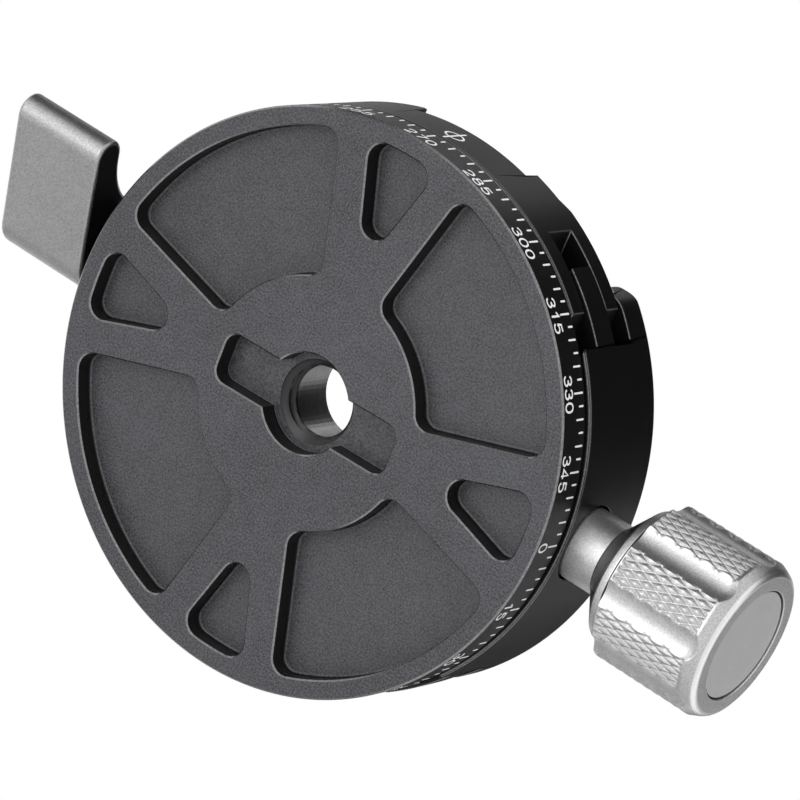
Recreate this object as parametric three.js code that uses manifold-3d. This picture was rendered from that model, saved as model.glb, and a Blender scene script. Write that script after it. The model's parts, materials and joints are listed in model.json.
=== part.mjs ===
// A panning clamp for a camera plate. A round base carries an angle scale and the tripod
// thread. The clamp turns on the base, a lever brakes it, and a screw knob draws its jaw.
// Millimetres, +Z up. The origin is on the turning axis, at the foot of the base. The
// knob is towards +X and the lever towards -X.
import * as THREE from 'three';
import { mergeVertices } from 'three/addons/utils/BufferGeometryUtils.js';
import Module from 'manifold-3d';

const wasm = await Module();
wasm.setup();

// Facets
const roundSegments = 60;
const smallSegments = 20;
const cornerSteps = 5;

// Clearances shared by all pieces
const runningGap = 0.3;
const slideGap = 0.2;
const edgeChamfer = 0.2;
const overrun = 1;

// The round body, from the foot up
const bodyRadius = 32.5;
const bandHeight = 4.7;
const floorHeight = 15;
const jawRise = 4.25;
const screwHeight = 10.15;

// Base: pockets, thread and the hub that the clamp turns on. Its pockets and key slot stand a
// little turned from the screw's line.
const baseTurn = THREE.MathUtils.degToRad(-1.6);
const pocketPairs = 4;
const pocketDepth = 2.4;
const pocketWall = 2.2;
const pocketCorner = 1.9;
const largePocketMargin = 2.1;
const largePocketHalfAngle = THREE.MathUtils.degToRad(29);
const smallPocketApexShare = 0.486;
const smallPocketHalfAngle = THREE.MathUtils.degToRad(17.9);
const centreRecess = 2.5;
const keySlotLength = 24;
const keySlotWidth = 5.8;
const keySlotCorner = 1.5;
const counterboreRadius = 5.6;
const threadRadius = 4.76;
const threadLength = 2.7;
const hubWall = 2.9;
const journalShoulder = 3.8;
const journalLength = 4;

// Pivot nut, its washers and its lock screw. The shares are parts of the way from the hub's
// bore to the split between body and jaw.
const nutSleeveRadius = 6;
const nutBore = 4.8;
const nutFlangeOverlap = 2;
const nutFlangeThickness = 0.8;
const spannerSlots = 4;
const spannerSlotWidth = 2;
const spannerSlotDepth = 1.5;
const webThickness = 0.8;
const washerThickness = 0.4;
const lockScrewRadius = 0.9;
const lockScrewLength = 3.4;
const thrustWasherInnerShare = 0.283;
const thrustWasherOuterShare = 0.912;
const thrustWasherThickness = 0.6;

// Plate channel
const plateWidth = 38;
const plateFit = 0.2;
const jawLand = 1;
const jawUndercut = 2.75;
const jawEndFlat = 0.77;
const jawOuterRound = 3;
const jawInnerRound = 2;
const grooveWidth = 15.7;
const grooveDepth = 3;
const grooveBevel = 0.6;
const stepWidth = 3.5;
const stepDepth = 0.65;
const stepRamp = 1.7;

// Moving jaw: where it stands at rest, how far it goes and what guides it, with shares as
// above
const restOpening = 2;
const jawProud = 0.5;
const closingTravel = 2.6;
const openingTravel = 3;
const splitDepth = 9.66;
const slotFloor = 7.65;
const slotHeight = 4.7;
const slotLength = 7.7;
const slotInner = 17;
const tongueThickness = 3.95;
const tongueReach = 6.55;
const pinSpread = 19;
const pinRadius = 1.5;
const pinTipShare = 0.172;
const pinSeat = 3.5;
const bushRadius = 2.6;
const bushLengthShare = 0.472;
const bushFrontShare = 0.755;
const springWire = 0.6;
const springClearance = 0.4;
const springCurls = 3;
const springSteps = 8;
const springSides = 5;

// Draw stud and its screw, with shares as above
const studRadius = 3;
const studStartShare = 0.094;
const crossPinRadius = 1;
const crossPinShare = 0.598;
const crossPinLength = 6.3;
const endScrewHead = 4;
const endScrewHeadThickness = 1.4;
const endScrewShank = 1.5;
const endScrewReach = 4;

// Knob, from its stem outwards
const jawWeb = 2.95;
const knobWasherThickness = 0.6;
const stemRadius = 4.3;
const stemLength = 7.1;
const collarConeLength = 2.75;
const collarRadius = 8;
const collarLength = 0.75;
const knobGrooveRadius = 7.5;
const knobGrooveLength = 0.5;
const gripRadius = 9.43;
const gripLength = 12;
const knobShoulderRadius = 8.93;
const knobShoulderLength = 1.1;
const knobEndRadius = 8.38;
const knobEndLength = 1.6;
const knobRecessRadius = 4.6;
const knobRecessStart = 16.1;
const capRadius = 6.5;
const capThickness = 0.9;
const capSeat = 1.4;
const fluteCount = 8;
const fluteDepth = 0.6;
const fluteHalfAngle = THREE.MathUtils.degToRad(10);
const fluteEnd = 1.05;

// Pan lever: hub round its spindle and an arm with a round tip
const leverHub = 5.2;
const leverWidth = 11.7;
const leverReach = 15.4;
const armInner = 1.85;
const armBlend = 9.6;
const restTilt = THREE.MathUtils.degToRad(20);
const spindleRadius = 2.4;
const leverCollarRadius = 4.4;
const leverCollarLength = 3.4;
const spotDepth = 0.7;
const leverScrewHead = 3.6;
const leverScrewHeadThickness = 3;
const leverScrewShank = 1.4;
const leverScrewReach = 6;

// Brake shoe
const shoeWidth = 8;
const shoeHeight = 6.8;
const shoeLength = 6.3;
const shoeRise = 0.9;

// Places and radii that follow from the sizes above
const quarterTurn = Math.PI / 2;
const bodyFoot = bandHeight + runningGap;
const jawTop = floorHeight + jawRise;
const beyond = bodyRadius + overrun;
const pocketOuter = bodyRadius - pocketWall;
const largePocketInner = keySlotLength / 2 + largePocketMargin;
const smallPocketApex = smallPocketApexShare * bodyRadius;
const threadEnd = centreRecess + threadLength;
const journalTop = bodyFoot + journalLength;
const webFoot = journalTop + runningGap;
const webTop = webFoot + webThickness;
const washerFoot = webTop + runningGap;
const flangeFoot = washerFoot + washerThickness + runningGap;
const flangeTop = flangeFoot + nutFlangeThickness;
const neckTop = flangeFoot - runningGap;
const hubBore = nutSleeveRadius + runningGap;
const neckRadius = hubBore + hubWall;
const webBore = neckRadius + runningGap;
const nutFlangeRadius = webBore + nutFlangeOverlap;
const journalRadius = neckRadius + journalShoulder;
const journalBore = journalRadius + runningGap;
const lockScrewPlace = (hubBore + neckRadius) / 2;
const clampedFoot = plateWidth / 2 + plateFit;
const jawFoot = clampedFoot + restOpening - jawProud;
const jawEndReach = jawFoot - jawUndercut + jawInnerRound + jawEndFlat;
const jawEndSide = Math.sqrt((bodyRadius - jawOuterRound) ** 2 - jawEndReach ** 2);
const bodySplit = bodyRadius - splitDepth;
const hubToSplit = bodySplit - journalBore;
const thrustWasherInner = journalBore + thrustWasherInnerShare * hubToSplit;
const thrustWasherOuter = journalBore + thrustWasherOuterShare * hubToSplit;
const jawBack = bodySplit + closingTravel + runningGap - jawProud;
const slotRoot = bodySplit - slotLength;
const pinTip = journalBore + pinTipShare * hubToSplit;
const pinBore = bushRadius + runningGap;
const pinBoreRoot = pinTip + jawProud - closingTravel - runningGap;
const bushFront = journalBore + bushFrontShare * hubToSplit;
const bushLength = bushLengthShare * hubToSplit;
const springRadius = pinRadius + springClearance + springWire / 2;
const springStart = bushFront + runningGap;
const springEnd = jawBack + jawProud - runningGap;
const studStart = journalBore + studStartShare * hubToSplit;
const crossPinPlace = journalBore + crossPinShare * hubToSplit;
const stemStart = jawBack + jawWeb + runningGap + knobWasherThickness + runningGap;
const collarStart = stemLength + collarConeLength;
const gripStart = collarStart + collarLength + knobGrooveLength;
const gripEnd = gripStart + gripLength;
const knobEnd = gripEnd + knobEndLength;
const capPocket = knobEnd - capSeat;
const knobBore = studRadius + runningGap;
const studEnd = stemStart + jawProud + knobRecessStart + openingTravel + slideGap;
const leverBore = spindleRadius + runningGap;
const collarFoot = bodyRadius - spotDepth + runningGap;
const leverStart = collarFoot + leverCollarLength + runningGap;
const leverEnd = leverStart + leverWidth;
const leverPocket = leverEnd - leverScrewHeadThickness - runningGap;
const shoeBack = journalBore + shoeLength;
const shoeFoot = bodyFoot + shoeRise;
const shoeTop = shoeFoot + shoeHeight;
const shoePocketSide = shoeWidth / 2 + slideGap;
const shoeMouth = Math.sqrt(journalBore ** 2 - shoePocketSide ** 2) - slideGap;

// Closed geometry made into a solid that can be joined and cut, and back again.
function solid(geometry) {
  const bare = geometry.clone();
  bare.deleteAttribute('normal');
  bare.deleteAttribute('uv');
  const merged = mergeVertices(bare);
  const corners = [];
  for (let i = 0; i < merged.index.count; i += 3) {
    const [a, b, c] = [0, 1, 2].map((k) => merged.index.getX(i + k));
    if (a !== b && b !== c && c !== a) corners.push(a, b, c);
  }
  return new wasm.Manifold(new wasm.Mesh({
    numProp: 3,
    vertProperties: new Float32Array(merged.attributes.position.array),
    triVerts: new Uint32Array(corners),
  }));
}

function geometryOf(body) {
  const mesh = body.getMesh();
  const geometry = new THREE.BufferGeometry();
  geometry.setAttribute('position', new THREE.BufferAttribute(mesh.vertProperties, 3));
  geometry.setIndex(new THREE.BufferAttribute(mesh.triVerts, 1));
  geometry.computeVertexNormals();
  return geometry;
}

const joined = (body, ...others) => others.reduce((sum, other) => sum.add(other), body);
const cut = (body, ...tools) => tools.reduce((rest, tool) => rest.subtract(tool), body);

// A section of [radius, height] points, listed counter-clockwise, turned round Z.
function turned(section, segments = roundSegments) {
  const points = [...section, section[0]].map(([radius, height]) => new THREE.Vector2(radius, height));
  return new THREE.LatheGeometry(points, segments).rotateX(quarterTurn);
}

function rod(radius, from, to, segments = smallSegments) {
  return turned([[0, from], [radius, from], [radius, to], [0, to]], segments);
}

function ring(inner, outer, from, to, segments = smallSegments) {
  return turned([[inner, from], [outer, from], [outer, to], [inner, to]], segments);
}

// Geometry made round Z, laid so that its Z runs along +X at the screw's height.
function onScrew(geometry, y = 0) {
  return geometry.rotateY(quarterTurn).translate(0, y, screwHeight);
}

function block(x0, x1, y0, y1, z0, z1) {
  const geometry = new THREE.BoxGeometry(x1 - x0, y1 - y0, z1 - z0);
  return geometry.translate((x0 + x1) / 2, (y0 + y1) / 2, (z0 + z1) / 2);
}

// An outline in X and Y, raised along Z.
function raised(outline, z0, z1, curveSegments = cornerSteps) {
  const settings = { depth: z1 - z0, bevelEnabled: false, curveSegments };
  return new THREE.ExtrudeGeometry(outline, settings).translate(0, 0, z0);
}

// An outline in X and Z, drawn along Y from one side of the body to the other.
function drawnAcross(outline) {
  const settings = { depth: 2 * beyond, bevelEnabled: false };
  return new THREE.ExtrudeGeometry(outline, settings).rotateX(quarterTurn).translate(0, beyond, 0);
}

function outlineOf(points) {
  return new THREE.Shape(points.map(([x, y]) => new THREE.Vector2(x, y)));
}

const polar = (radius, angle) => [radius * Math.cos(angle), radius * Math.sin(angle)];

// A pocket between two straight sides that would meet at the apex, closed by an outer arc.
// The corner angle is where a corner's round touches both the side and the outer arc.
function pocketOutline(apex, halfAngle, inner) {
  const reach = pocketOuter - pocketCorner;
  const turn = halfAngle - Math.asin((pocketCorner + apex * Math.sin(halfAngle)) / reach);
  const side = halfAngle + quarterTurn;
  const outline = new THREE.Shape();
  outline.absarc(0, 0, pocketOuter, -turn, turn);
  outline.absarc(...polar(reach, turn), pocketCorner, turn, side);
  if (inner > 0) {
    const innerReach = inner + pocketCorner;
    const innerTurn = halfAngle - Math.asin(pocketCorner / innerReach);
    outline.absarc(...polar(innerReach, innerTurn), pocketCorner, side, innerTurn + Math.PI);
    outline.absarc(0, 0, inner, innerTurn, -innerTurn, true);
    outline.absarc(...polar(innerReach, -innerTurn), pocketCorner, Math.PI - innerTurn, 2 * Math.PI - side);
  } else {
    const centre = apex + pocketCorner / Math.sin(halfAngle);
    outline.absarc(centre, 0, pocketCorner, side, 2 * Math.PI - side);
  }
  outline.absarc(...polar(reach, -turn), pocketCorner, -side, -turn);
  return outline;
}

function slotOutline(length, width, corner) {
  const x = length / 2 - corner;
  const y = width / 2 - corner;
  const outline = new THREE.Shape();
  [[x, -y], [x, y], [-x, y], [-x, -y]].forEach(([cx, cy], k) => {
    outline.absarc(cx, cy, corner, (k - 1) * quarterTurn, k * quarterTurn);
  });
  return outline;
}

function baseDisc() {
  let body = solid(turned([
    [threadRadius, centreRecess],
    [counterboreRadius, centreRecess],
    [counterboreRadius, 0],
    [bodyRadius - edgeChamfer, 0],
    [bodyRadius, edgeChamfer],
    [bodyRadius, bandHeight],
    [journalRadius, bandHeight],
    [journalRadius, journalTop],
    [neckRadius, journalTop],
    [neckRadius, neckTop],
    [hubBore, neckTop],
    [hubBore, threadEnd],
    [threadRadius, threadEnd],
  ]));
  const large = pocketOutline(0, largePocketHalfAngle, largePocketInner);
  const small = pocketOutline(smallPocketApex, smallPocketHalfAngle, 0);
  const turn = 2 * Math.PI / pocketPairs;
  for (let k = 0; k < pocketPairs; k += 1) {
    const smallPocket = raised(small, -overrun, pocketDepth).rotateZ(k * turn + baseTurn);
    const largePocket = raised(large, -overrun, pocketDepth).rotateZ((k + 0.5) * turn + baseTurn);
    body = cut(body, solid(smallPocket), solid(largePocket));
  }
  const slot = slotOutline(keySlotLength, keySlotWidth, keySlotCorner);
  const keySlot = raised(slot, -overrun, centreRecess).rotateZ(baseTurn);
  return cut(body, solid(keySlot), solid(lockScrewBore()));
}

// The lock screw stands in the hub's wall, half a spanner slot's turn from the +X side.
function atLockScrew(geometry) {
  const [x, y] = polar(lockScrewPlace, Math.PI / spannerSlots);
  return geometry.translate(x, y, 0);
}

function lockScrewBore() {
  const foot = flangeTop - lockScrewLength - runningGap;
  return atLockScrew(rod(lockScrewRadius + runningGap, foot, flangeTop + overrun));
}

function lockScrew() {
  const top = flangeTop - slideGap;
  return solid(atLockScrew(rod(lockScrewRadius, top - lockScrewLength + slideGap, top)));
}

function pivotNut() {
  let body = solid(turned([
    [nutBore, threadEnd + runningGap],
    [nutSleeveRadius, threadEnd + runningGap],
    [nutSleeveRadius, flangeFoot],
    [nutFlangeRadius, flangeFoot],
    [nutFlangeRadius, flangeTop],
    [nutBore, flangeTop],
  ]));
  for (let k = 0; k < spannerSlots; k += 1) {
    const half = spannerSlotWidth / 2;
    const from = nutFlangeRadius - spannerSlotDepth;
    const to = nutFlangeRadius + overrun;
    const slot = block(from, to, -half, half, flangeFoot - overrun, flangeTop + overrun);
    body = cut(body, solid(slot.rotateZ(k * 2 * Math.PI / spannerSlots)));
  }
  return cut(body, solid(lockScrewBore()));
}

// Plan of a jaw block: a straight lip across X, rounded ends, and open past the round side.
function jawPlan(lip) {
  const turn = Math.atan2(jawEndSide, jawEndReach);
  const innerX = lip + jawInnerRound;
  const innerY = jawEndSide + jawOuterRound - jawInnerRound;
  const outline = new THREE.Shape();
  outline.absarc(innerX, -innerY, jawInnerRound, Math.PI, 3 * quarterTurn);
  outline.absarc(jawEndReach, -jawEndSide, jawOuterRound, -quarterTurn, -turn);
  outline.lineTo(beyond, -bodyRadius * Math.sin(turn));
  outline.lineTo(beyond, bodyRadius * Math.sin(turn));
  outline.absarc(jawEndReach, jawEndSide, jawOuterRound, turn, quarterTurn);
  outline.absarc(innerX, innerY, jawInnerRound, quarterTurn, Math.PI);
  return outline;
}

// The round blank that both halves of the clamp are cut from.
function clampBlank() {
  return solid(turned([
    [0, bodyFoot],
    [bodyRadius - edgeChamfer, bodyFoot],
    [bodyRadius, bodyFoot + edgeChamfer],
    [bodyRadius, jawTop - edgeChamfer],
    [bodyRadius - edgeChamfer, jawTop],
    [0, jawTop],
  ]));
}

// The dovetail side of a jaw, as far as the space over it: foot, undercut and lip.
function dovetail(foot, side) {
  return [
    [side * foot, floorHeight],
    [side * foot, floorHeight + jawLand],
    [side * (foot - jawUndercut), floorHeight + jawLand + jawUndercut],
    [side * (foot - jawUndercut), jawTop + overrun],
  ];
}

function channelSpace() {
  const half = grooveWidth / 2;
  const stepFloor = floorHeight - stepDepth;
  return drawnAcross(outlineOf([
    ...dovetail(clampedFoot, -1).reverse(),
    [-half - grooveBevel, floorHeight],
    [-half, floorHeight - grooveBevel],
    [-half, floorHeight - grooveDepth],
    [half, floorHeight - grooveDepth],
    [half, stepFloor],
    [half + stepWidth, stepFloor],
    [half + stepWidth + stepRamp, floorHeight],
    [beyond, floorHeight],
    [beyond, jawTop + overrun],
  ]));
}

// What lies past the ends of a jaw block, above the channel floor.
function jawEnds(lip, foot, turn = 0) {
  const around = block(-beyond, beyond, -beyond, beyond, foot, jawTop + overrun);
  const kept = raised(jawPlan(lip), foot - overrun, jawTop + 2 * overrun).rotateZ(turn);
  return cut(solid(around), solid(kept));
}

function clampBody() {
  const lip = clampedFoot - jawUndercut;
  const plain = clampBlank();
  const front = block(bodySplit, beyond, -beyond, beyond, bodyFoot - overrun, jawTop + overrun);
  const ends = jawEnds(lip, floorHeight, Math.PI);
  let body = cut(plain, solid(front), solid(channelSpace()), ends);
  const hub = turned([
    [0, bodyFoot - overrun],
    [journalBore, bodyFoot - overrun],
    [journalBore, webFoot],
    [webBore, webFoot],
    [webBore, webTop],
    [nutFlangeRadius + runningGap, webTop],
    [nutFlangeRadius + runningGap, floorHeight + overrun],
    [0, floorHeight + overrun],
  ]);
  const washerSeat = ring(
    thrustWasherInner - slideGap,
    thrustWasherOuter + slideGap,
    bodyFoot - overrun,
    bandHeight + slideGap + thrustWasherThickness + slideGap,
    roundSegments,
  );
  body = cut(body, solid(hub), solid(washerSeat));
  for (const side of [-1, 1]) {
    const from = Math.min(side * slotInner, side * beyond);
    const to = Math.max(side * slotInner, side * beyond);
    const slot = block(slotRoot, beyond, from, to, slotFloor, slotFloor + slotHeight);
    const pinHole = onScrew(rod(pinBore, pinBoreRoot, beyond), side * pinSpread / 2);
    body = cut(body, solid(slot), solid(pinHole));
  }
  const studHole = onScrew(rod(knobBore, studStart - runningGap, beyond));
  const spindleHole = onScrew(rod(leverBore, -beyond, -shoeBack));
  const spot = onScrew(rod(leverCollarRadius + runningGap, -beyond, spotDepth - bodyRadius));
  const crossHole = rod(crossPinRadius + runningGap, bodyFoot - overrun, crossPinTop() + runningGap);
  const shoePocket = block(
    -shoeBack - runningGap,
    -shoeMouth,
    -shoePocketSide,
    shoePocketSide,
    bodyFoot - overrun,
    shoeTop + slideGap,
  );
  return cut(
    body,
    solid(studHole),
    solid(spindleHole),
    solid(spot),
    solid(crossHole.translate(crossPinPlace, 0, 0)),
    solid(shoePocket),
  );
}

function thrustWasher() {
  const foot = bandHeight + slideGap;
  const top = foot + thrustWasherThickness;
  return solid(ring(thrustWasherInner, thrustWasherOuter, foot, top, roundSegments));
}

function retainingWasher() {
  const inner = webBore + slideGap;
  const outer = nutFlangeRadius - slideGap;
  return solid(ring(inner, outer, washerFoot, washerFoot + washerThickness, roundSegments));
}

// Moving jaw, in its own frame: its round side is centred on the frame's Z axis.
function movingJaw() {
  const lip = jawFoot - jawUndercut;
  const upperFoot = floorHeight + slideGap;
  const tongueFoot = slotFloor + slideGap;
  const tongueTop = tongueFoot + tongueThickness;
  const tongueTip = jawBack - tongueReach;
  const under = dovetail(jawFoot, 1);
  const behind = drawnAcross(outlineOf([
    [-beyond, bodyFoot - overrun],
    [jawBack, bodyFoot - overrun],
    [jawBack, upperFoot],
    [jawFoot, upperFoot],
    ...under.slice(1),
    [-beyond, jawTop + overrun],
  ]));
  let body = cut(clampBlank(), solid(behind), jawEnds(lip, upperFoot));
  for (const side of [-1, 1]) {
    const inner = slotInner + slideGap;
    const from = Math.min(side * inner, side * beyond);
    const to = Math.max(side * inner, side * beyond);
    const tongue = solid(block(tongueTip, jawBack + overrun, from, to, tongueFoot, tongueTop));
    body = joined(body, tongue.intersect(clampBlank()));
  }
  for (const side of [-1, 1]) {
    const pinHole = onScrew(rod(pinRadius + runningGap, 0, jawBack + pinSeat + runningGap));
    body = cut(body, solid(pinHole.translate(0, side * pinSpread / 2, 0)));
  }
  const studHole = onScrew(rod(knobBore, 0, beyond));
  const stemSeat = onScrew(rod(stemRadius + runningGap, jawBack + jawWeb, beyond));
  return cut(body, solid(studHole), solid(stemSeat));
}

// Pieces below are made round Z in their own frames and laid along the screw's line.
function guidePin() {
  return solid(rod(pinRadius, pinTip, jawBack + pinSeat));
}

function guideBush() {
  return solid(ring(pinRadius + slideGap, bushRadius, bushFront - bushLength, bushFront));
}

// A spring's wire is wound round its pin and cut off square at each end.
function jawSpring() {
  const steps = springCurls * springSteps;
  const climb = springEnd - springStart - springWire;
  const positions = [];
  const index = [];
  for (let i = 0; i <= steps; i += 1) {
    const turn = i / springSteps * 2 * Math.PI;
    const height = springStart + springWire / 2 + climb * i / steps;
    for (let k = 0; k < springSides; k += 1) {
      const [out, up] = polar(springWire / 2, k / springSides * 2 * Math.PI);
      positions.push(...polar(springRadius + out, turn), height + up);
    }
  }
  const at = (i, k) => i * springSides + k % springSides;
  for (let i = 0; i < steps; i += 1) {
    for (let k = 0; k < springSides; k += 1) {
      index.push(at(i, k), at(i + 1, k + 1), at(i, k + 1));
      index.push(at(i, k), at(i + 1, k), at(i + 1, k + 1));
    }
  }
  for (let k = 1; k < springSides - 1; k += 1) {
    index.push(at(0, 0), at(0, k), at(0, k + 1));
    index.push(at(steps, 0), at(steps, k + 1), at(steps, k));
  }
  const geometry = new THREE.BufferGeometry();
  geometry.setAttribute('position', new THREE.Float32BufferAttribute(positions, 3));
  geometry.setIndex(index);
  return solid(geometry);
}

function crossPinTop() {
  return screwHeight + studRadius - runningGap;
}

function crossPin() {
  return solid(rod(crossPinRadius, crossPinTop() - crossPinLength, crossPinTop()));
}

function clampStud() {
  const body = solid(rod(studRadius, studStart, studEnd));
  const screwHole = rod(endScrewShank + runningGap, studEnd - endScrewReach - runningGap, studEnd + overrun);
  const crossHole = rod(crossPinRadius + runningGap, -studRadius - overrun, studRadius + overrun);
  return cut(body, solid(screwHole), solid(crossHole.rotateY(quarterTurn).translate(0, 0, crossPinPlace)));
}

function studEndScrew() {
  const underHead = studEnd + runningGap;
  const head = underHead + endScrewHeadThickness;
  return solid(turned([
    [0, studEnd - endScrewReach],
    [endScrewShank, studEnd - endScrewReach],
    [endScrewShank, underHead],
    [endScrewHead, underHead],
    [endScrewHead, head],
    [0, head],
  ], smallSegments));
}

function knobWasher() {
  const foot = jawBack + jawWeb + runningGap;
  return solid(ring(knobBore, stemRadius, foot, foot + knobWasherThickness));
}

// A flute is a round-ended groove. Its cutter's radius follows from its depth and width.
function fluteCutter() {
  const deep = gripRadius - fluteDepth;
  const edge = gripRadius * Math.cos(fluteHalfAngle) - deep;
  const halfWidth = gripRadius * Math.sin(fluteHalfAngle);
  const radius = (edge ** 2 + halfWidth ** 2) / (2 * edge);
  const centre = deep + radius;
  const runOut = Math.sqrt(radius ** 2 - (centre - gripRadius) ** 2);
  const last = gripEnd + fluteEnd - runOut;
  const section = [[0, gripStart - knobGrooveLength], [radius, gripStart - knobGrooveLength]];
  for (let k = 0; k <= cornerSteps; k += 1) {
    const [out, up] = polar(radius, k / cornerSteps * quarterTurn);
    section.push([k < cornerSteps ? out : 0, last + up]);
  }
  return turned(section, smallSegments).translate(-centre, 0, 0);
}

function clampKnob() {
  let body = solid(turned([
    [knobBore, 0],
    [stemRadius, 0],
    [stemRadius, stemLength],
    [collarRadius, collarStart],
    [collarRadius, collarStart + collarLength],
    [knobGrooveRadius, collarStart + collarLength],
    [knobGrooveRadius, gripStart],
    [gripRadius - edgeChamfer, gripStart],
    [gripRadius, gripStart + edgeChamfer],
    [gripRadius, gripEnd],
    [knobShoulderRadius, gripEnd + knobShoulderLength],
    [knobEndRadius, knobEnd],
    [capRadius + slideGap, knobEnd],
    [capRadius + slideGap, capPocket],
    [knobRecessRadius, capPocket],
    [knobRecessRadius, knobRecessStart],
    [knobBore, knobRecessStart],
  ]));
  for (let k = 0; k < fluteCount; k += 1) {
    const flute = fluteCutter().rotateZ(k * 2 * Math.PI / fluteCount);
    body = cut(body, solid(flute));
  }
  return body;
}

function knobCap() {
  return solid(rod(capRadius, capPocket + runningGap, capPocket + runningGap + capThickness));
}

// Lever outline, seen along its spindle: the hub, a flat front, a round tip and a back that
// blends into the hub. The arm runs along -Y, and its front faces -X in this frame.
function leverOutline() {
  const tipRadius = (leverHub - armInner) / 2;
  const tipCentre = leverReach - tipRadius;
  const tipSide = (leverHub + armInner) / 2;
  const blendSide = armBlend - armInner;
  const blendAlong = Math.sqrt((leverHub + armBlend) ** 2 - blendSide ** 2);
  const blendTurn = Math.atan2(blendSide, blendAlong);
  const outline = new THREE.Shape();
  outline.absarc(0, 0, leverHub, blendTurn - quarterTurn, Math.PI);
  outline.absarc(-tipSide, -tipCentre, tipRadius, Math.PI, 2 * Math.PI);
  outline.absarc(blendSide, -blendAlong, armBlend, Math.PI, quarterTurn + blendTurn, true);
  return outline;
}

function panLever() {
  const body = solid(raised(leverOutline(), leverStart, leverEnd, smallSegments));
  const bore = rod(leverBore, leverStart - overrun, leverEnd);
  const pocket = rod(leverScrewHead + runningGap, leverPocket, leverEnd + overrun);
  return cut(body, solid(bore), solid(pocket));
}

function leverSpindle() {
  const body = solid(rod(spindleRadius, shoeBack + slideGap, leverPocket));
  const hole = rod(leverScrewShank + runningGap, leverPocket - leverScrewReach, leverPocket + overrun);
  return cut(body, solid(hole));
}

function leverScrew() {
  const underHead = leverPocket + runningGap;
  const tip = leverPocket - leverScrewReach + runningGap;
  return solid(turned([
    [0, tip],
    [leverScrewShank, tip],
    [leverScrewShank, underHead],
    [leverScrewHead, underHead],
    [leverScrewHead, leverEnd],
    [0, leverEnd],
  ], smallSegments));
}

function leverCollar() {
  return solid(ring(leverBore, leverCollarRadius, collarFoot, collarFoot + leverCollarLength));
}

function brakeShoe() {
  const half = shoeWidth / 2;
  const bar = block(-shoeBack, -journalRadius + overrun, -half, half, shoeFoot, shoeTop);
  const journal = rod(journalBore, shoeFoot - overrun, shoeTop + overrun, roundSegments);
  return cut(solid(bar), solid(journal));
}

// Finishes
const anodised = { color: 0x161719, roughness: 0.45, metalness: 0.6 };
const baseBlack = { color: 0x3a3b3e, roughness: 0.5, metalness: 0.6 };
const satinSilver = { color: 0xc3c4c6, roughness: 0.35, metalness: 0.9 };
const steel = { color: 0x9a9da0, roughness: 0.4, metalness: 0.9 };
const nylon = { color: 0xdcdcd6, roughness: 0.6, metalness: 0 };
const bronze = { color: 0xa07844, roughness: 0.45, metalness: 0.8 };

function piece(name, body, finish) {
  const mesh = new THREE.Mesh(geometryOf(body), new THREE.MeshStandardMaterial(finish));
  mesh.name = name;
  return mesh;
}

// A frame whose +Z runs outwards along the screw's line, on the knob's or the lever's side.
function outwards(side, y = 0) {
  const frame = new THREE.Group();
  frame.position.set(0, y, screwHeight);
  frame.rotation.y = side * quarterTurn;
  return frame;
}

function baseGroup() {
  const group = new THREE.Group();
  group.add(piece('base_disc', baseDisc(), baseBlack));
  group.add(piece('pivot_nut', pivotNut(), steel));
  group.add(piece('nut_lock_screw', lockScrew(), steel));
  group.add(piece('retaining_washer', retainingWasher(), steel));
  return group;
}

function knobGroup() {
  const group = new THREE.Group();
  group.position.z = stemStart;
  group.add(piece('clamp_knob', clampKnob(), satinSilver));
  group.add(piece('knob_cap', knobCap(), anodised));
  return group;
}

function jawGroup() {
  const group = new THREE.Group();
  group.position.x = jawProud;
  group.add(piece('moving_jaw', movingJaw(), anodised));
  for (const [name, side] of [['front', -1], ['rear', 1]]) {
    const line = outwards(1, side * pinSpread / 2);
    line.add(piece(`guide_pin_${name}`, guidePin(), steel));
    group.add(line);
  }
  const screwLine = outwards(1);
  screwLine.add(piece('knob_washer', knobWasher(), nylon));
  screwLine.add(knobGroup());
  group.add(screwLine);
  return group;
}

function leverGroup() {
  const tilted = new THREE.Group();
  tilted.rotation.z = -restTilt;
  tilted.add(piece('pan_lever', panLever(), satinSilver));
  tilted.add(piece('lever_spindle', leverSpindle(), steel));
  tilted.add(piece('lever_screw', leverScrew(), steel));
  return tilted;
}

function clampGroup() {
  const group = new THREE.Group();
  group.add(piece('clamp_body', clampBody(), anodised));
  group.add(piece('thrust_washer', thrustWasher(), nylon));
  const pin = piece('stud_cross_pin', crossPin(), steel);
  pin.position.x = crossPinPlace;
  group.add(pin);
  group.add(piece('brake_shoe', brakeShoe(), bronze));
  const screwLine = outwards(1);
  screwLine.add(piece('clamp_stud', clampStud(), steel));
  screwLine.add(piece('stud_end_screw', studEndScrew(), steel));
  group.add(screwLine);
  for (const [name, side] of [['front', -1], ['rear', 1]]) {
    const line = outwards(1, side * pinSpread / 2);
    line.add(piece(`guide_bush_${name}`, guideBush(), bronze));
    line.add(piece(`jaw_spring_${name}`, jawSpring(), steel));
    group.add(line);
  }
  const leverLine = outwards(-1);
  leverLine.add(piece('lever_collar', leverCollar(), anodised));
  leverLine.add(leverGroup());
  group.add(leverLine);
  group.add(jawGroup());
  return group;
}

const clamp = new THREE.Group();
clamp.add(baseGroup());
clamp.add(clampGroup());

export default clamp;
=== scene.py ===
# %% [markdown]
# A panning clamp holds a camera plate between two dovetail jaws and turns on a scaled base.
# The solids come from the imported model, and this file dresses them for the render. The packed
# model is loaded first, because every new piece rides on one of its bodies.

# %% Load the frame
import json
from math import asin, atan2, ceil, cos, floor, pi, radians, sin, sqrt

import bmesh
import bpy
import numpy as np
from mathutils import Matrix, Vector

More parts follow.
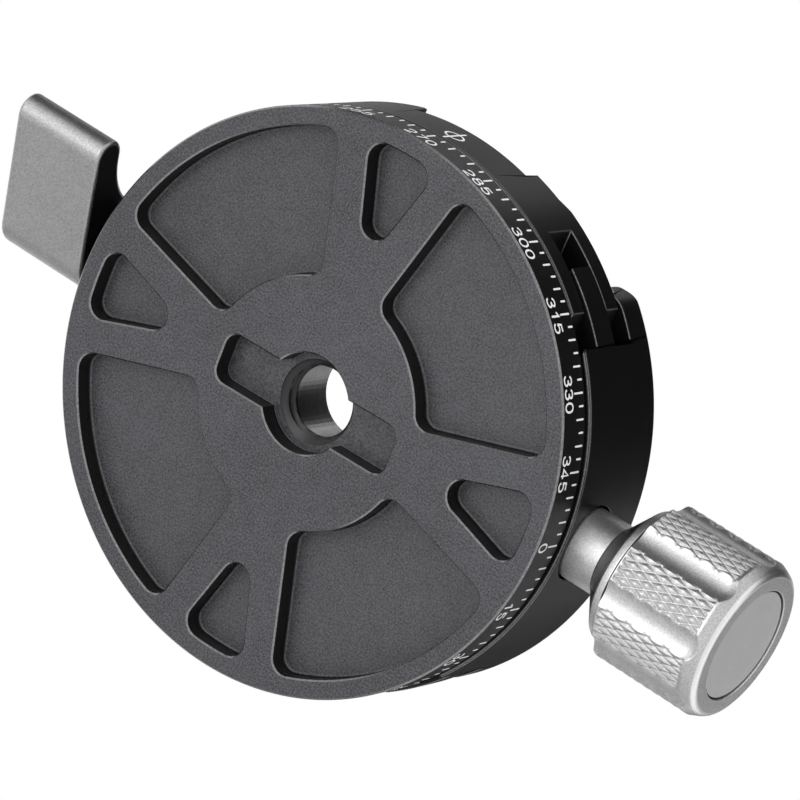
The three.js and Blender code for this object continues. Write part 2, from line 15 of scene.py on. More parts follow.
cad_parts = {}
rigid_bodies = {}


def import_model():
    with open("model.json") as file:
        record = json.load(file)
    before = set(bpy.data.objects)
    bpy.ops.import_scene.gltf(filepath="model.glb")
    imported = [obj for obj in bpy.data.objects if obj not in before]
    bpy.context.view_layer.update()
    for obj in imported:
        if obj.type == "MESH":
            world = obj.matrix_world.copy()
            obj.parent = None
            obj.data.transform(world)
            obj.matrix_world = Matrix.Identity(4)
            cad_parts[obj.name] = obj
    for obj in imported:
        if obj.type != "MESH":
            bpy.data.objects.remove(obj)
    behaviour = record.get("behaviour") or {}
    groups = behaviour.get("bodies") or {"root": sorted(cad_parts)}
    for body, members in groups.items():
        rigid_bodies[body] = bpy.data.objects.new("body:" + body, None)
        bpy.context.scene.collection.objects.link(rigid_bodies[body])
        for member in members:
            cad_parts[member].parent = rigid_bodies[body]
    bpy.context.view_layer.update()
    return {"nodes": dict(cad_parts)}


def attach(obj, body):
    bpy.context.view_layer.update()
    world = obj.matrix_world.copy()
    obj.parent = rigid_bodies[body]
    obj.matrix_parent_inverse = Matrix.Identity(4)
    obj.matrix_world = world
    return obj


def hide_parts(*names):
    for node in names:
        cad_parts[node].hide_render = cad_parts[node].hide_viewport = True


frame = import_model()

MM = 0.001

# %% [markdown]
# Finishes and Geometry Nodes are both node trees. One small class wraps a node's output, so
# that sums on it are written as plain arithmetic and each sum adds its Math node. Its make()
# adds any other node from a type, its settings and the values or links of its sockets.

# %% A link that can be used in sums
def sign(operation, turned_round=False):
    """The method behind a sign such as +, which adds a Math node."""
    return lambda self, *others: self.maths(operation, *others, turned_round=turned_round)


class Link:
    """A node's output. Arithmetic on it adds Math nodes, and make() adds any other node."""

    __add__ = __radd__ = sign("ADD")
    __mul__ = __rmul__ = sign("MULTIPLY")
    __sub__, __rsub__ = sign("SUBTRACT"), sign("SUBTRACT", turned_round=True)
    __truediv__, __rtruediv__ = sign("DIVIDE"), sign("DIVIDE", turned_round=True)
    __pow__, __mod__, __abs__ = sign("POWER"), sign("MODULO"), sign("ABSOLUTE")
    __gt__, __lt__ = sign("GREATER_THAN"), sign("LESS_THAN")
    least, most = sign("MINIMUM"), sign("MAXIMUM")

    def __init__(self, tree, socket=None):
        self.tree = tree
        self.socket = socket

    def make(self, kind, settings=None, inputs=None, output=0):
        node = self.tree.nodes.new(kind)
        for name, value in (settings or {}).items():
            setattr(node, name, value)
        for name, value in (inputs or {}).items():
            if isinstance(value, Link):
                self.tree.links.new(value.socket, node.inputs[name])
            else:
                node.inputs[name].default_value = value
        return Link(self.tree, node.outputs[output])

    def also(self, output):
        return Link(self.tree, self.socket.node.outputs[output])

    def maths(self, operation, *others, turned_round=False):
        values = (*others, self) if turned_round else (self, *others)
        return self.make("ShaderNodeMath", {"operation": operation}, dict(enumerate(values)))

    def feed(self, node, name):
        self.tree.links.new(self.socket, node.inputs[name])


# %% [markdown]
# The finishes are anodised aluminium, turned steel, bronze and nylon. Each one is a Principled
# surface whose colour, roughness and bump vary a little, at the size of the real grain. The
# patterns read Object coordinates, which here are the part's own metres, so they stay put when
# a body turns.

# %% A start for every finish
def new_finish(name, metallic, specular=0.5):
    material = bpy.data.materials.new(name)
    material.use_nodes = True
    surface = material.node_tree.nodes["Principled BSDF"]
    surface.inputs["Metallic"].default_value = metallic
    surface.inputs["Specular IOR Level"].default_value = specular
    tree = Link(material.node_tree)
    place = tree.make("ShaderNodeTexCoord", output="Object")
    return material, surface, place


def noise(place, scale, detail=2.0, roughness=0.5):
    values = {"Vector": place, "Scale": scale, "Detail": detail, "Roughness": roughness}
    return place.make("ShaderNodeTexNoise", inputs=values)


def blend(factor, first, second):
    inputs = {0: factor, 6: (*first, 1.0), 7: (*second, 1.0)}
    return factor.make("ShaderNodeMix", {"data_type": "RGBA"}, inputs, output=2)


def spread(value, low, high):
    """Stretches the values from low to high over 0 to 1."""
    return value.make("ShaderNodeMapRange", inputs={"Value": value, "From Min": low, "From Max": high})


def bump(height, distance):
    return height.make("ShaderNodeBump", inputs={"Height": height, "Distance": distance, "Strength": 1.0})


# %% Blasted and satin finishes
CLOUD, SLOW = 0.12, 0.012  # how coarse the changes are, against the grain


def blasted(name, dark, light, grain, rough, depth, metallic, specular=0.5):
    """A blasted surface: fine grain over slow, cloudy changes. Grain is its size in metres."""
    material, surface, place = new_finish(name, metallic, specular)
    fine = noise(place, 1 / grain, 3.0, 0.6)
    cloud = noise(place, CLOUD / grain, 3.0)
    slow = noise(place, SLOW / grain, 2.0)
    blend(spread(fine * 0.8 + cloud * 0.1 + slow * 0.1, 0.38, 0.62), dark, light).feed(surface, "Base Color")
    (fine * 0.12 + slow * 0.08 + (rough - 0.1)).feed(surface, "Roughness")
    bump(fine, depth).feed(surface, "Normal")
    return material


def grey(value):
    return (value, value, value)


# Dark and light colour, size of the grain, roughness, depth of the bump, metallic, specular.
base_black = blasted(
    "base_black", (0.012, 0.012, 0.014), (0.092, 0.093, 0.105), 0.00022, 0.38, 0.000022, 0.0)
pocket_black = blasted(
    "pocket_black", (0.018, 0.018, 0.020), (0.088, 0.089, 0.100), 0.00022, 0.40, 0.000022, 0.0)
# Painted shade: the pocket walls and the outer band share the face's anodising, but take this near-black
# colour for their shade; the band's turned side is also smoother.
painted_shade_black = blasted("painted_shade_black", grey(0.003), grey(0.007), 0.00014, 0.34, 0.000006, 0.0, 0.4)
body_black = blasted(
    "body_black", (0.002, 0.002, 0.0022), (0.006, 0.006, 0.0065), 0.00014, 0.32, 0.000006, 0.0, 0.33)
mouth_black = blasted(
    "mouth_black", (0.20, 0.20, 0.205), (0.34, 0.34, 0.345), 0.00020, 0.24, 0.000004, 1.0)
edge_black = blasted(
    "edge_black", (0.10, 0.10, 0.105), (0.22, 0.22, 0.225), 0.00020, 0.30, 0.000006, 0.7, 0.6)
satin_silver = blasted("satin_silver", grey(0.48), grey(0.68), 0.00018, 0.38, 0.000018, 1.0)
lever_silver = blasted("lever_silver", grey(0.36), grey(0.52), 0.00022, 0.38, 0.000018, 1.0)
# The brightest silver goes only on the two rims of the knob's end, as a painted highlight.
painted_highlight_silver = blasted("painted_highlight_silver", grey(0.84), grey(0.94), 0.00020, 0.34, 0.000006, 1.0)
nylon = blasted("nylon", (0.60, 0.60, 0.56), (0.72, 0.72, 0.68), 0.0003, 0.5, 0.000008, 0.0)
white_paint = blasted("white_paint", grey(0.84), grey(0.94), 0.00012, 0.55, 0.000004, 0.0)
print("blasted finishes:", len(bpy.data.materials))


# %% Turned finishes
SCREW = 10.15
ROUND_X, ROUND_Z = (9000.0, 260.0, 260.0), (260.0, 260.0, 9000.0)


def turned_metal(name, dark, light, rough, depth, lathe=ROUND_X, metallic=1.0):
    """Metal from the lathe: fine lines round its axis, which lies along X or Z."""
    material, surface, place = new_finish(name, metallic)
    across = place.make("ShaderNodeMapping", inputs={"Vector": place, "Scale": lathe})
    lines = noise(across, 1.0, 2.0, 0.6)
    cloud = noise(place, 420.0, 3.0)
    blend(spread(lines * 0.6 + cloud * 0.4, 0.35, 0.65), dark, light).feed(surface, "Base Color")
    (lines * 0.14 + cloud * 0.06 + (rough - 0.1)).feed(surface, "Roughness")
    bump(lines, depth).feed(surface, "Normal")
    return material


def faced_metal(name, dark, light, rough, depth):
    """The faced end of a turned piece: rings round the screw's line, which runs along X."""
    material, surface, place = new_finish(name, 1.0)
    off = place.make("ShaderNodeVectorMath", {"operation": "SUBTRACT"}, {0: place, 1: (0.0, 0.0, SCREW * MM)})
    flat = off.make("ShaderNodeVectorMath", {"operation": "MULTIPLY"}, {0: off, 1: (0.0, 1.0, 1.0)})
    radius = flat.make("ShaderNodeVectorMath", {"operation": "LENGTH"}, {0: flat}, output="Value")
    rings = radius.make(
        "ShaderNodeTexNoise", {"noise_dimensions": "1D"}, {"W": radius * 7000.0, "Scale": 1.0, "Detail": 2.0})
    cloud = noise(place, 500.0, 3.0)
    blend(rings * 0.7 + cloud * 0.3, dark, light).feed(surface, "Base Color")
    (rings * 0.16 + (rough - 0.08)).feed(surface, "Roughness")
    bump(rings, depth).feed(surface, "Normal")
    return material


# Dark and light colour, roughness, depth of the bump.
steel = turned_metal("steel", (0.36, 0.36, 0.37), (0.52, 0.52, 0.53), 0.34, 0.000008)
turned_steel = turned_metal(
    "turned_steel", (0.36, 0.36, 0.37), (0.52, 0.52, 0.53), 0.32, 0.000008, ROUND_Z)
bronze = turned_metal("bronze", (0.30, 0.19, 0.09), (0.44, 0.29, 0.14), 0.40, 0.000008)
dark_thread = turned_metal(
    "dark_thread", (0.004, 0.004, 0.0045), (0.014, 0.014, 0.015), 0.30, 0.000008, ROUND_Z, metallic=0.0)
# The darker turned silver stays only on the collar's cone and the groove behind it, where its darker colour
# is painted shade.
turned_silver_painted_shade = turned_metal("turned_silver_painted_shade", grey(0.34), grey(0.46), 0.24, 0.000004)
cap_grey = faced_metal("cap_grey", grey(0.60), grey(0.80), 0.46, 0.000004)
print("finishes:", [material.name for material in bpy.data.materials])

# %% [markdown]
# The camera stands below the base and looks up, with a long lens. Its place was worked out from
# the outline of the base, so it is set directly by its three axes. The floor lies far below, so
# that it never hides the foot. The world is a white backdrop, and it lights less than it shows.

# %% Camera
PICTURE, FOCAL_LENGTH, SENSOR = 800, 4842.34, 36.0  # pixels, pixels and millimetres
scene = bpy.context.scene


def shown(name, data):
    """A new object in the scene."""
    item = bpy.data.objects.new(name, data)
    scene.collection.objects.link(item)
    return item


def aimed(place, direction, front):
    """A matrix that stands at a place, with one of its axes along the direction."""
    return Matrix.Translation(place) @ Vector(direction).to_track_quat(front, "Y").to_matrix().to_4x4()


camera_data = bpy.data.cameras.new("camera")
camera_data.sensor_width = SENSOR
camera_data.lens = FOCAL_LENGTH / PICTURE * SENSOR
camera_data.clip_start, camera_data.clip_end = 0.01, 20.0
camera = shown("camera", camera_data)
scene.camera = camera
forward = Vector((-0.4301, 0.3131, 0.8468)).normalized()
across = Vector((0.7625, -0.3762, 0.5264)).normalized()
upward = across.cross(forward).normalized()
turn = Matrix((forward.cross(upward), upward, -forward)).transposed().to_4x4()
camera.matrix_world = Matrix.Translation(Vector((234.42, -169.29, -440.77)) * MM) @ turn
print("camera:", camera.location[:], "lens:", round(camera_data.lens, 1))


# %% World
WHITE = (1.0, 1.0, 1.0, 1.0)
scene.view_settings.view_transform = "Standard"
world = bpy.data.worlds.new("studio")
scene.world = world
world.use_nodes = True
world.node_tree.nodes.clear()
sky = Link(world.node_tree)
ray = sky.make("ShaderNodeLightPath", output="Is Camera Ray")
seen = ray.most(ray.also("Is Glossy Ray")).most(ray.also("Is Transmission Ray"))
white = sky.make("ShaderNodeBackground", inputs={"Color": WHITE, "Strength": 1.0})
soft = sky.make("ShaderNodeBackground", inputs={"Color": WHITE, "Strength": 0.92})
both = sky.make("ShaderNodeMixShader", inputs={0: seen, 1: soft, 2: white})
both.feed(world.node_tree.nodes.new("ShaderNodeOutputWorld"), "Surface")


# %% Floor, cards and lamps
def stage_plane(name, centre, size, facing, shade):
    """A flat grey square of the studio, in metres, that faces a direction."""
    mesh = bpy.data.meshes.new(name)
    low, high = -size / 2, size / 2
    mesh.from_pydata([(low, low, 0), (high, low, 0), (high, high, 0), (low, high, 0)], [], [(0, 1, 2, 3)])
    plane = shown(name, mesh)
    plane.matrix_world = aimed(centre, facing, "Z")
    material, surface, _ = new_finish(name, 0.0, specular=0.1)
    surface.inputs["Base Color"].default_value = (*grey(shade), 1.0)
    surface.inputs["Roughness"].default_value = 0.8
    mesh.materials.append(material)
    return plane


stage_plane("floor", (0.0, 0.0, -1.4), 12.0, (0, 0, 1), 0.86)

# Cards that only reflections show: place, size and grey.
cards = [
    ("card_above", (0.40, -0.36, 0.84), 1.15, 0.01), ("card_left", (-0.42, -0.12, 0.98), 1.0, 0.40),
    ("card_behind", (-0.42, -0.90, 0.25), 1.1, 0.05), ("card_far", (-0.25, 0.97, -0.05), 1.1, 0.45),
    ("card_end", (0.55, 0.42, 0.95), 0.75, 0.38), ("card_top", (-0.15, 0.60, 1.0), 0.8, 0.05),
]
for name, centre, size, shade in cards:
    card = stage_plane(name, centre, size, -Vector(centre), shade)
    card.visible_camera = False
    card.visible_diffuse = False
    card.visible_shadow = False


def lamp(name, place, aim, size, power):
    """A square lamp that points at a spot, in metres and watts."""
    data = bpy.data.lights.new(name, "AREA")
    data.shape = "RECTANGLE"
    data.size, data.size_y = size, size
    data.energy = power
    light = shown(name, data)
    light.matrix_world = aimed(place, Vector(aim) - Vector(place), "-Z")
    return light


lamp("lamp_below", (-0.12, -0.09, -0.46), (0.01, -0.02, 0), 0.34, 0.55)
lamp("lamp_front", (-0.2, -0.5, -0.7), (0, 0, 0), 0.5, 0.8)
lamp_above = lamp("lamp_above", (-0.4, 0.35, 1.0), (0, 0, 0.01), 0.7, 9.0)
lamp_above.visible_glossy = False
print("lamps:", [light.name for light in bpy.data.lights])

# %% [markdown]
# Most pieces here are rings of points joined by bands of faces, as a turned or milled piece is.
# A Shell collects rings in millimetres, joins them and fills flat faces between them. Its
# normals are set so that flats stay flat and only the rounded edges shade from one to the next.

# %% Rings, bands and fills
def ended(mesh, name="tool"):
    """Ends a bmesh as a plain mesh."""
    data = bpy.data.meshes.new(name)
    mesh.to_mesh(data)
    mesh.free()
    return data


class Shell:
    """Closed rings of points in millimetres, and the faces between them."""

    def __init__(self):
        self.mesh = bmesh.new()
        self.rounded = set()
        self.marked = {}

    def ring(self, points):
        return [self.mesh.verts.new((x * MM, y * MM, z * MM)) for x, y, z in points]

    def band(self, first, second, rounded=False, mark=0):
        count = len(first)
        for i in range(count):
            j = (i + 1) % count
            face = self.mesh.faces.new((first[i], first[j], second[j], second[i]))
            if rounded:
                self.rounded.add(face)
            self.marked[face] = mark

    def fill(self, *rings, mark=0):
        edges = []
        for ring in rings:
            for i, corner in enumerate(ring):
                pair = (ring[i - 1], corner)
                edges.append(self.mesh.edges.get(pair) or self.mesh.edges.new(pair))
        made = bmesh.ops.triangle_fill(self.mesh, use_beauty=True, use_dissolve=False, edges=edges)
        for item in made["geom"]:
            if isinstance(item, bmesh.types.BMFace):
                self.marked[item] = mark

    def stack(self, rings, rounded=(), marks=()):
        """Bands from each ring to the next. Rounded holds the numbers of the rounded ones."""
        for i in range(len(rings) - 1):
            self.band(rings[i], rings[i + 1], i in rounded, marks[i] if marks else 0)

    def finished(self, name, *materials):
        """The mesh object, with faces outwards and its normals set."""
        bmesh.ops.recalc_face_normals(self.mesh, faces=self.mesh.faces)
        self.mesh.faces.index_update()
        rounded = {face.index for face in self.rounded}
        for face, mark in self.marked.items():
            face.material_index = mark
        mesh = ended(self.mesh, name)
        set_normals(mesh, rounded)
        return placed(name, mesh, *materials)


SAME_SIDE, SAME_FLAT = 0.6, 0.88  # cosines of the turn from one face to the next


def set_normals(mesh, rounded):
    """Corners of a rounded face take the nearest flat neighbour's direction."""
    mesh.shade_smooth()
    faces = mesh.polygons
    directions = [face.normal.copy() for face in faces]
    around = [[] for _ in mesh.vertices]
    for face in faces:
        for corner in face.vertices:
            around[corner].append(face.index)
    normals = [None] * len(mesh.loops)
    for face in faces:
        own = directions[face.index]
        for loop, corner in zip(face.loop_indices, face.vertices):
            near = [i for i in around[corner] if i not in rounded]
            lead = own
            if face.index in rounded:
                lead = max((directions[i] for i in near), key=own.dot, default=-own)
                if lead.dot(own) <= SAME_SIDE:
                    lead, near = own, [i for i in around[corner] if i in rounded]
            total = Vector()
            for i in near:
                if directions[i].dot(lead) > SAME_FLAT:
                    total += directions[i] * faces[i].area
            normals[loop] = (total if total.length > 0 else own).normalized()
    mesh.normals_split_custom_set(normals)


def placed(name, mesh, *materials):
    for material in materials:
        mesh.materials.append(material)
    return shown(name, mesh)


def even_angles(count):
    return [2 * pi * i / count for i in range(count)]


def on_circle(radius, angle, x=0.0, y=0.0):
    """The point of a flat circle at an angle."""
    return (x + radius * cos(angle), y + radius * sin(angle))


def circle(radius, z, count, x=0.0):
    return [(*on_circle(radius, t, x), z) for t in even_angles(count)]


def screw_ring(x, radius, angles, y=0.0):
    """Points round a line along X at the screw's height."""
    return [(x, *on_circle(radius, t, y, SCREW)) for t in angles]


# %% [markdown]
# The base is a turned disc with milled pockets, four large and four small, a key slot, a
# counterbore and the tripod thread. It could be carved with Booleans, but the pockets' broken
# mouths and soft floors show best in the light when each wall is a set of offset outlines. So
# each outline is drawn once and repeated, stepped inwards, down to its floor.

# %% Outlines of the pockets and the key slot
RADIUS, BAND, DEPTH, SLOT_DEPTH = 32.5, 4.7, 2.4, 2.5
POCKET_OUTER, CORNER, BASE_TURN = 30.3, 1.9, -1.6
BASE_FACE, POCKET_FLOOR, MOUTH, THREAD_WALL, PAINTED_SHADE_WALL = range(5)  # marks of the base's finishes


def arc(cx, cy, radius, start, end, steps):
    return [on_circle(radius, start + (end - start) * i / steps, cx, cy) for i in range(steps + 1)]


def pocket_outline(apex, half, inner, turned_by):
    reach = POCKET_OUTER - CORNER
    corner_turn = half - asin((CORNER + apex * sin(half)) / reach)
    side = half + pi / 2
    centre = on_circle(reach, corner_turn)
    points = arc(0, 0, POCKET_OUTER, -corner_turn, corner_turn, 40)
    points += arc(*centre, CORNER, corner_turn, side, 14)[1:]
    if inner:
        inner_reach = inner + CORNER
        inner_turn = half - asin(CORNER / inner_reach)
        spot = on_circle(inner_reach, inner_turn)
        points += arc(*spot, CORNER, side, inner_turn + pi, 12)
        points += arc(0, 0, inner, inner_turn, -inner_turn, 24)[1:-1]
        points += arc(spot[0], -spot[1], CORNER, pi - inner_turn, 2 * pi - side, 12)
    else:
        points += arc(apex + CORNER / sin(half), 0, CORNER, side, 2 * pi - side, 24)
    points += arc(centre[0], -centre[1], CORNER, -side, -corner_turn, 14)[:-1]
    return turned_flat(points, turned_by)


def turned_flat(points, turn_by):
    c, s = cos(turn_by), sin(turn_by)
    return [(x * c - y * s, x * s + y * c) for x, y in points]


def slot_outline(half_length, half_width, corner, round_radius):
    """The key slot where the counterbore widens it."""
    meet = asin(half_width / round_radius)
    x, y = half_length - corner, half_width - corner
    points = arc(x, -y, corner, -pi / 2, 0, 8) + arc(x, y, corner, 0, pi / 2, 8)
    points += arc(0, 0, round_radius, meet, pi - meet, 40)
    return points + [(-x, -y) for x, y in points]


def stepped_in(outline, distance):
    """The outline moved towards its inside. It runs counter-clockwise."""
    moved = []
    for i, (x, y) in enumerate(outline):
        px, py = outline[i - 1]
        nx, ny = outline[(i + 1) % len(outline)]
        first = Vector((y - py, px - x)).normalized()
        second = Vector((ny - y, x - nx)).normalized()
        mitre = (first + second) / (1 + first.dot(second))
        moved.append((x - mitre.x * distance, y - mitre.y * distance))
    return moved


# %% Walls of a pocket, from its mouth to its floor
MOUTH_WIDTH, FILLET_STEPS = 0.17, 4
POCKET_FILLET, SLOT_FILLET = 0.35, 0.12


def sink(shell, outline, depth, fillet):
    """Adds a pocket's walls. Gives its ring at the foot and its ring round the floor."""
    levels = [(-MOUTH_WIDTH, 0.0), (0.0, MOUTH_WIDTH)]
    for i in range(FILLET_STEPS + 1):
        a = i / FILLET_STEPS * pi / 2
        levels.append((fillet * (1 - cos(a)), depth - fillet + fillet * sin(a)))
    rings = [shell.ring([(x, y, z) for x, y in stepped_in(outline, inset)]) for inset, z in levels]
    # The wall and the first half of its fillet take the near-black painted shade.
    marks = (MOUTH, PAINTED_SHADE_WALL, PAINTED_SHADE_WALL, PAINTED_SHADE_WALL, POCKET_FLOOR, POCKET_FLOOR)
    shell.stack(rings, (2, 3, 4, 5), marks)
    return rings[0], rings[-1]


# %% The thread, a wave that climbs one pitch a turn
THREAD, PITCH, CREST, THREAD_END, THREAD_FADE = 4.76, 1.5875, 0.8, 5.2, 0.45
FLANK, FLAT = 1.75, 0.25


def thread_rings(shell, count=96, rows=30):
    rings = []
    for row in range(rows + 1):
        z = SLOT_DEPTH + (THREAD_END - SLOT_DEPTH) * row / rows
        fade = min(1.0, (z - SLOT_DEPTH) / THREAD_FADE, (THREAD_END - z) / THREAD_FADE)
        points = []
        for i, t in enumerate(even_angles(count)):
            phase = (z / PITCH - i / count) % 1.0
            wave = max(0.0, min(1.0, FLANK * (1 - abs(2 * phase - 1)) - FLAT))
            r = THREAD - CREST * wave * max(fade, 0.0)
            points.append((*on_circle(r, t), z))
        rings.append(shell.ring(points))
    shell.stack(rings, marks=[THREAD_WALL] * rows)
    return rings[0], rings[-1]


# %% The whole base
EDGE, SEAT_EDGE = 0.2, 0.15
LARGE_POCKET, SMALL_POCKET = (0, 29, 14.1, 45), (15.8, 17.9, 0, 0)  # apex, half angle, inner end, turn
SLOT = (12, 2.9, 1.5, 5.6)  # half length, half width, corner, radius of the counterbore
HUB = [(6.3, 5.2), (6.3, 10.8), (9.2, 10.8), (9.2, 9.0), (13.0, 9.0), (13.0, BAND)]


def build_base():
    shell = Shell()
    profile = [(RADIUS - EDGE, 0), (RADIUS, EDGE), (RADIUS, BAND - SEAT_EDGE), (RADIUS - SEAT_EDGE, BAND)]
    edge = [shell.ring(circle(r, z, 360)) for r, z in profile]
    # The outer band between its two chamfers takes the near-black painted shade.
    shell.stack(edge, marks=(MOUTH, PAINTED_SHADE_WALL, MOUTH))
    mouths = []
    for quarter in range(4):
        for apex, half, inner, turn_by in (LARGE_POCKET, SMALL_POCKET):
            turned_by = radians(turn_by + 90 * quarter + BASE_TURN)
            outline = pocket_outline(apex, radians(half), inner, turned_by)
            mouth, ground = sink(shell, outline, DEPTH, POCKET_FILLET)
            shell.fill(ground, mark=POCKET_FLOOR)
            mouths.append(mouth)
    slot = turned_flat(slot_outline(*SLOT), radians(BASE_TURN))
    slot_mouth, slot_ground = sink(shell, slot, SLOT_DEPTH, SLOT_FILLET)
    shell.fill(edge[0], slot_mouth, *mouths, mark=BASE_FACE)
    thread_low, thread_high = thread_rings(shell)
    shell.fill(slot_ground, thread_low, mark=POCKET_FLOOR)
    hub = [thread_high] + [shell.ring(circle(r, z, 96)) for r, z in HUB]
    shell.stack(hub)
    shell.fill(edge[3], hub[-1])
    return shell.finished("scaled_base", base_black, pocket_black, mouth_black, dark_thread, painted_shade_black)


scaled_base = build_base()
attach(scaled_base, "base")
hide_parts("base_disc")
print("base:", len(scaled_base.data.polygons), "faces")

# %% [markdown]
# The clamp's body and its moving jaw are sawn and milled from one round blank. They are carved
# here the same way, with exact Booleans on a blank of 360 sides, and then every edge gets a
# narrow chamfer, as the real deburred edges have. The chamfers have their own, brighter finish.

# %% Blanks, cutters and carving
PAST = 34  # where cutters end, past the side of the blank


def evaluated_mesh(piece, *others):
    """The piece's mesh with its modifiers applied. The piece and the others are then removed."""
    mesh = bpy.data.meshes.new_from_object(piece.evaluated_get(bpy.context.evaluated_depsgraph_get()))
    for item in (piece, *others):
        bpy.data.objects.remove(item)
    return mesh


def closed(stacked):
    """A closed mesh from stacked rings, capped at both ends."""
    mesh = bmesh.new()
    rings = [[mesh.verts.new(Vector(p) * MM) for p in ring] for ring in stacked]
    for low, high in zip(rings, rings[1:]):
        for i in range(len(low)):
            j = (i + 1) % len(low)
            mesh.faces.new((low[i], low[j], high[j], high[i]))
    mesh.faces.new(rings[0])
    mesh.faces.new(rings[-1])
    bmesh.ops.recalc_face_normals(mesh, faces=mesh.faces)
    return ended(mesh)


def merged(*meshes):
    mesh = bmesh.new()
    for data in meshes:
        mesh.from_mesh(data)
    return ended(mesh)


def upright(profile, count, x=0.0):
    return closed([circle(r, z, count, x) for r, z in profile])


def along_x(profile, count, y=0.0):
    """A turned tool whose axis lies along X at the screw's height."""
    return closed([screw_ring(x, r, even_angles(count), y) for r, x in profile])


def raised(outline, z0, z1):
    return closed([[(x, y, z) for x, y in outline] for z in (z0, z1)])


def brick(x0, x1, y0, y1, z0, z1):
    return raised([(x0, y0), (x1, y0), (x1, y1), (x0, y1)], z0, z1)


def drawn_along_y(outline):
    return closed([[(x, y, z) for x, z in outline] for y in (-PAST, PAST)])


def carved(blank, *tools):
    piece = shown("blank", blank)
    cutters = [shown("tool", data) for data in tools]
    for cutter in cutters:
        step = piece.modifiers.new("cut", "BOOLEAN")
        step.operation, step.solver, step.object = "DIFFERENCE", "EXACT", cutter
    return evaluated_mesh(piece, *cutters)


# %% Chamfers on every edge of a carved piece
CHAMFER, SAME_POINT = 0.10 * MM, 2e-6
FLAT_TURN, EDGE_TURN = radians(0.3), radians(38)


def chamfered(name, mesh, *materials):
    cleaned = bmesh.new()
    cleaned.from_mesh(mesh)
    bmesh.ops.remove_doubles(cleaned, verts=cleaned.verts, dist=SAME_POINT)
    bmesh.ops.dissolve_limit(cleaned, angle_limit=FLAT_TURN, verts=cleaned.verts, edges=cleaned.edges)
    piece = placed("sharp", ended(cleaned), *materials)
    edges = piece.modifiers.new("chamfer", "BEVEL")
    edges.width = CHAMFER
    edges.segments = 1
    edges.limit_method, edges.angle_limit = "ANGLE", EDGE_TURN
    edges.use_clamp_overlap = False
    edges.material = 1
    edges.miter_outer = "MITER_SHARP"
    result = evaluated_mesh(piece)
    set_normals(result, set())
    return placed(name, result)


# %% The jaw's ends: straight lip, rounded ends and the round side
LIP, FOOT, END, OUTER_ROUND, INNER_ROUND = 2.75, 19.2, 24.0, 3.0, 2.0
FLOOR, RISE = 15.0, 4.25


def end_cutters(lip, foot, side, shift):
    """Tools that take away what lies past the two ends of a jaw block."""
    centre_y = END - OUTER_ROUND
    centre_x = sqrt((RADIUS - OUTER_ROUND) ** 2 - centre_y ** 2)
    touch = atan2(centre_y, centre_x)
    past, wide = 4, 36
    outline = [(RADIUS * cos(touch) + past, RADIUS * sin(touch))]
    outline += arc(centre_x, centre_y, OUTER_ROUND, touch, pi / 2, 16)
    outline += arc(lip + INNER_ROUND, END - INNER_ROUND, INNER_ROUND, pi / 2, pi, 14)
    outline += [(lip - 3, END - INNER_ROUND), (lip - 3, wide), (RADIUS + past, wide)]
    tools = []
    for mirror in (1, -1):
        points = [(side * x + shift, mirror * y) for x, y in outline]
        tools.append(raised(points, foot, FLOOR + RISE + 1))
    return merged(*tools)


# %% The clamp's body
BODY_FOOT, RIM, TOP = 5.0, 0.2, FLOOR + RISE
LOW, OVER = 4, 1  # where cutters start below the foot, and how far they reach past a face
PIN_SPREAD, STUD_BORE, SPLIT = 9.5, 3.3, 22.84


def round_bar(shift=0.0):
    """The bar that body and jaw are made from."""
    profile = [(RADIUS - RIM, BODY_FOOT), (RADIUS, BODY_FOOT + RIM), (RADIUS, TOP - RIM), (RADIUS - RIM, TOP)]
    return upright(profile, 360, shift)


def on_both_sides(x0, x1, y0, y1, z0, z1):
    """The same brick on each side of the screw."""
    return [brick(x0, x1, *sorted((side * y0, side * y1)), z0, z1) for side in (1, -1)]


def pin_bores(radius, start, end, count):
    return [along_x([(radius, start), (radius, end)], count, side * PIN_SPREAD) for side in (1, -1)]


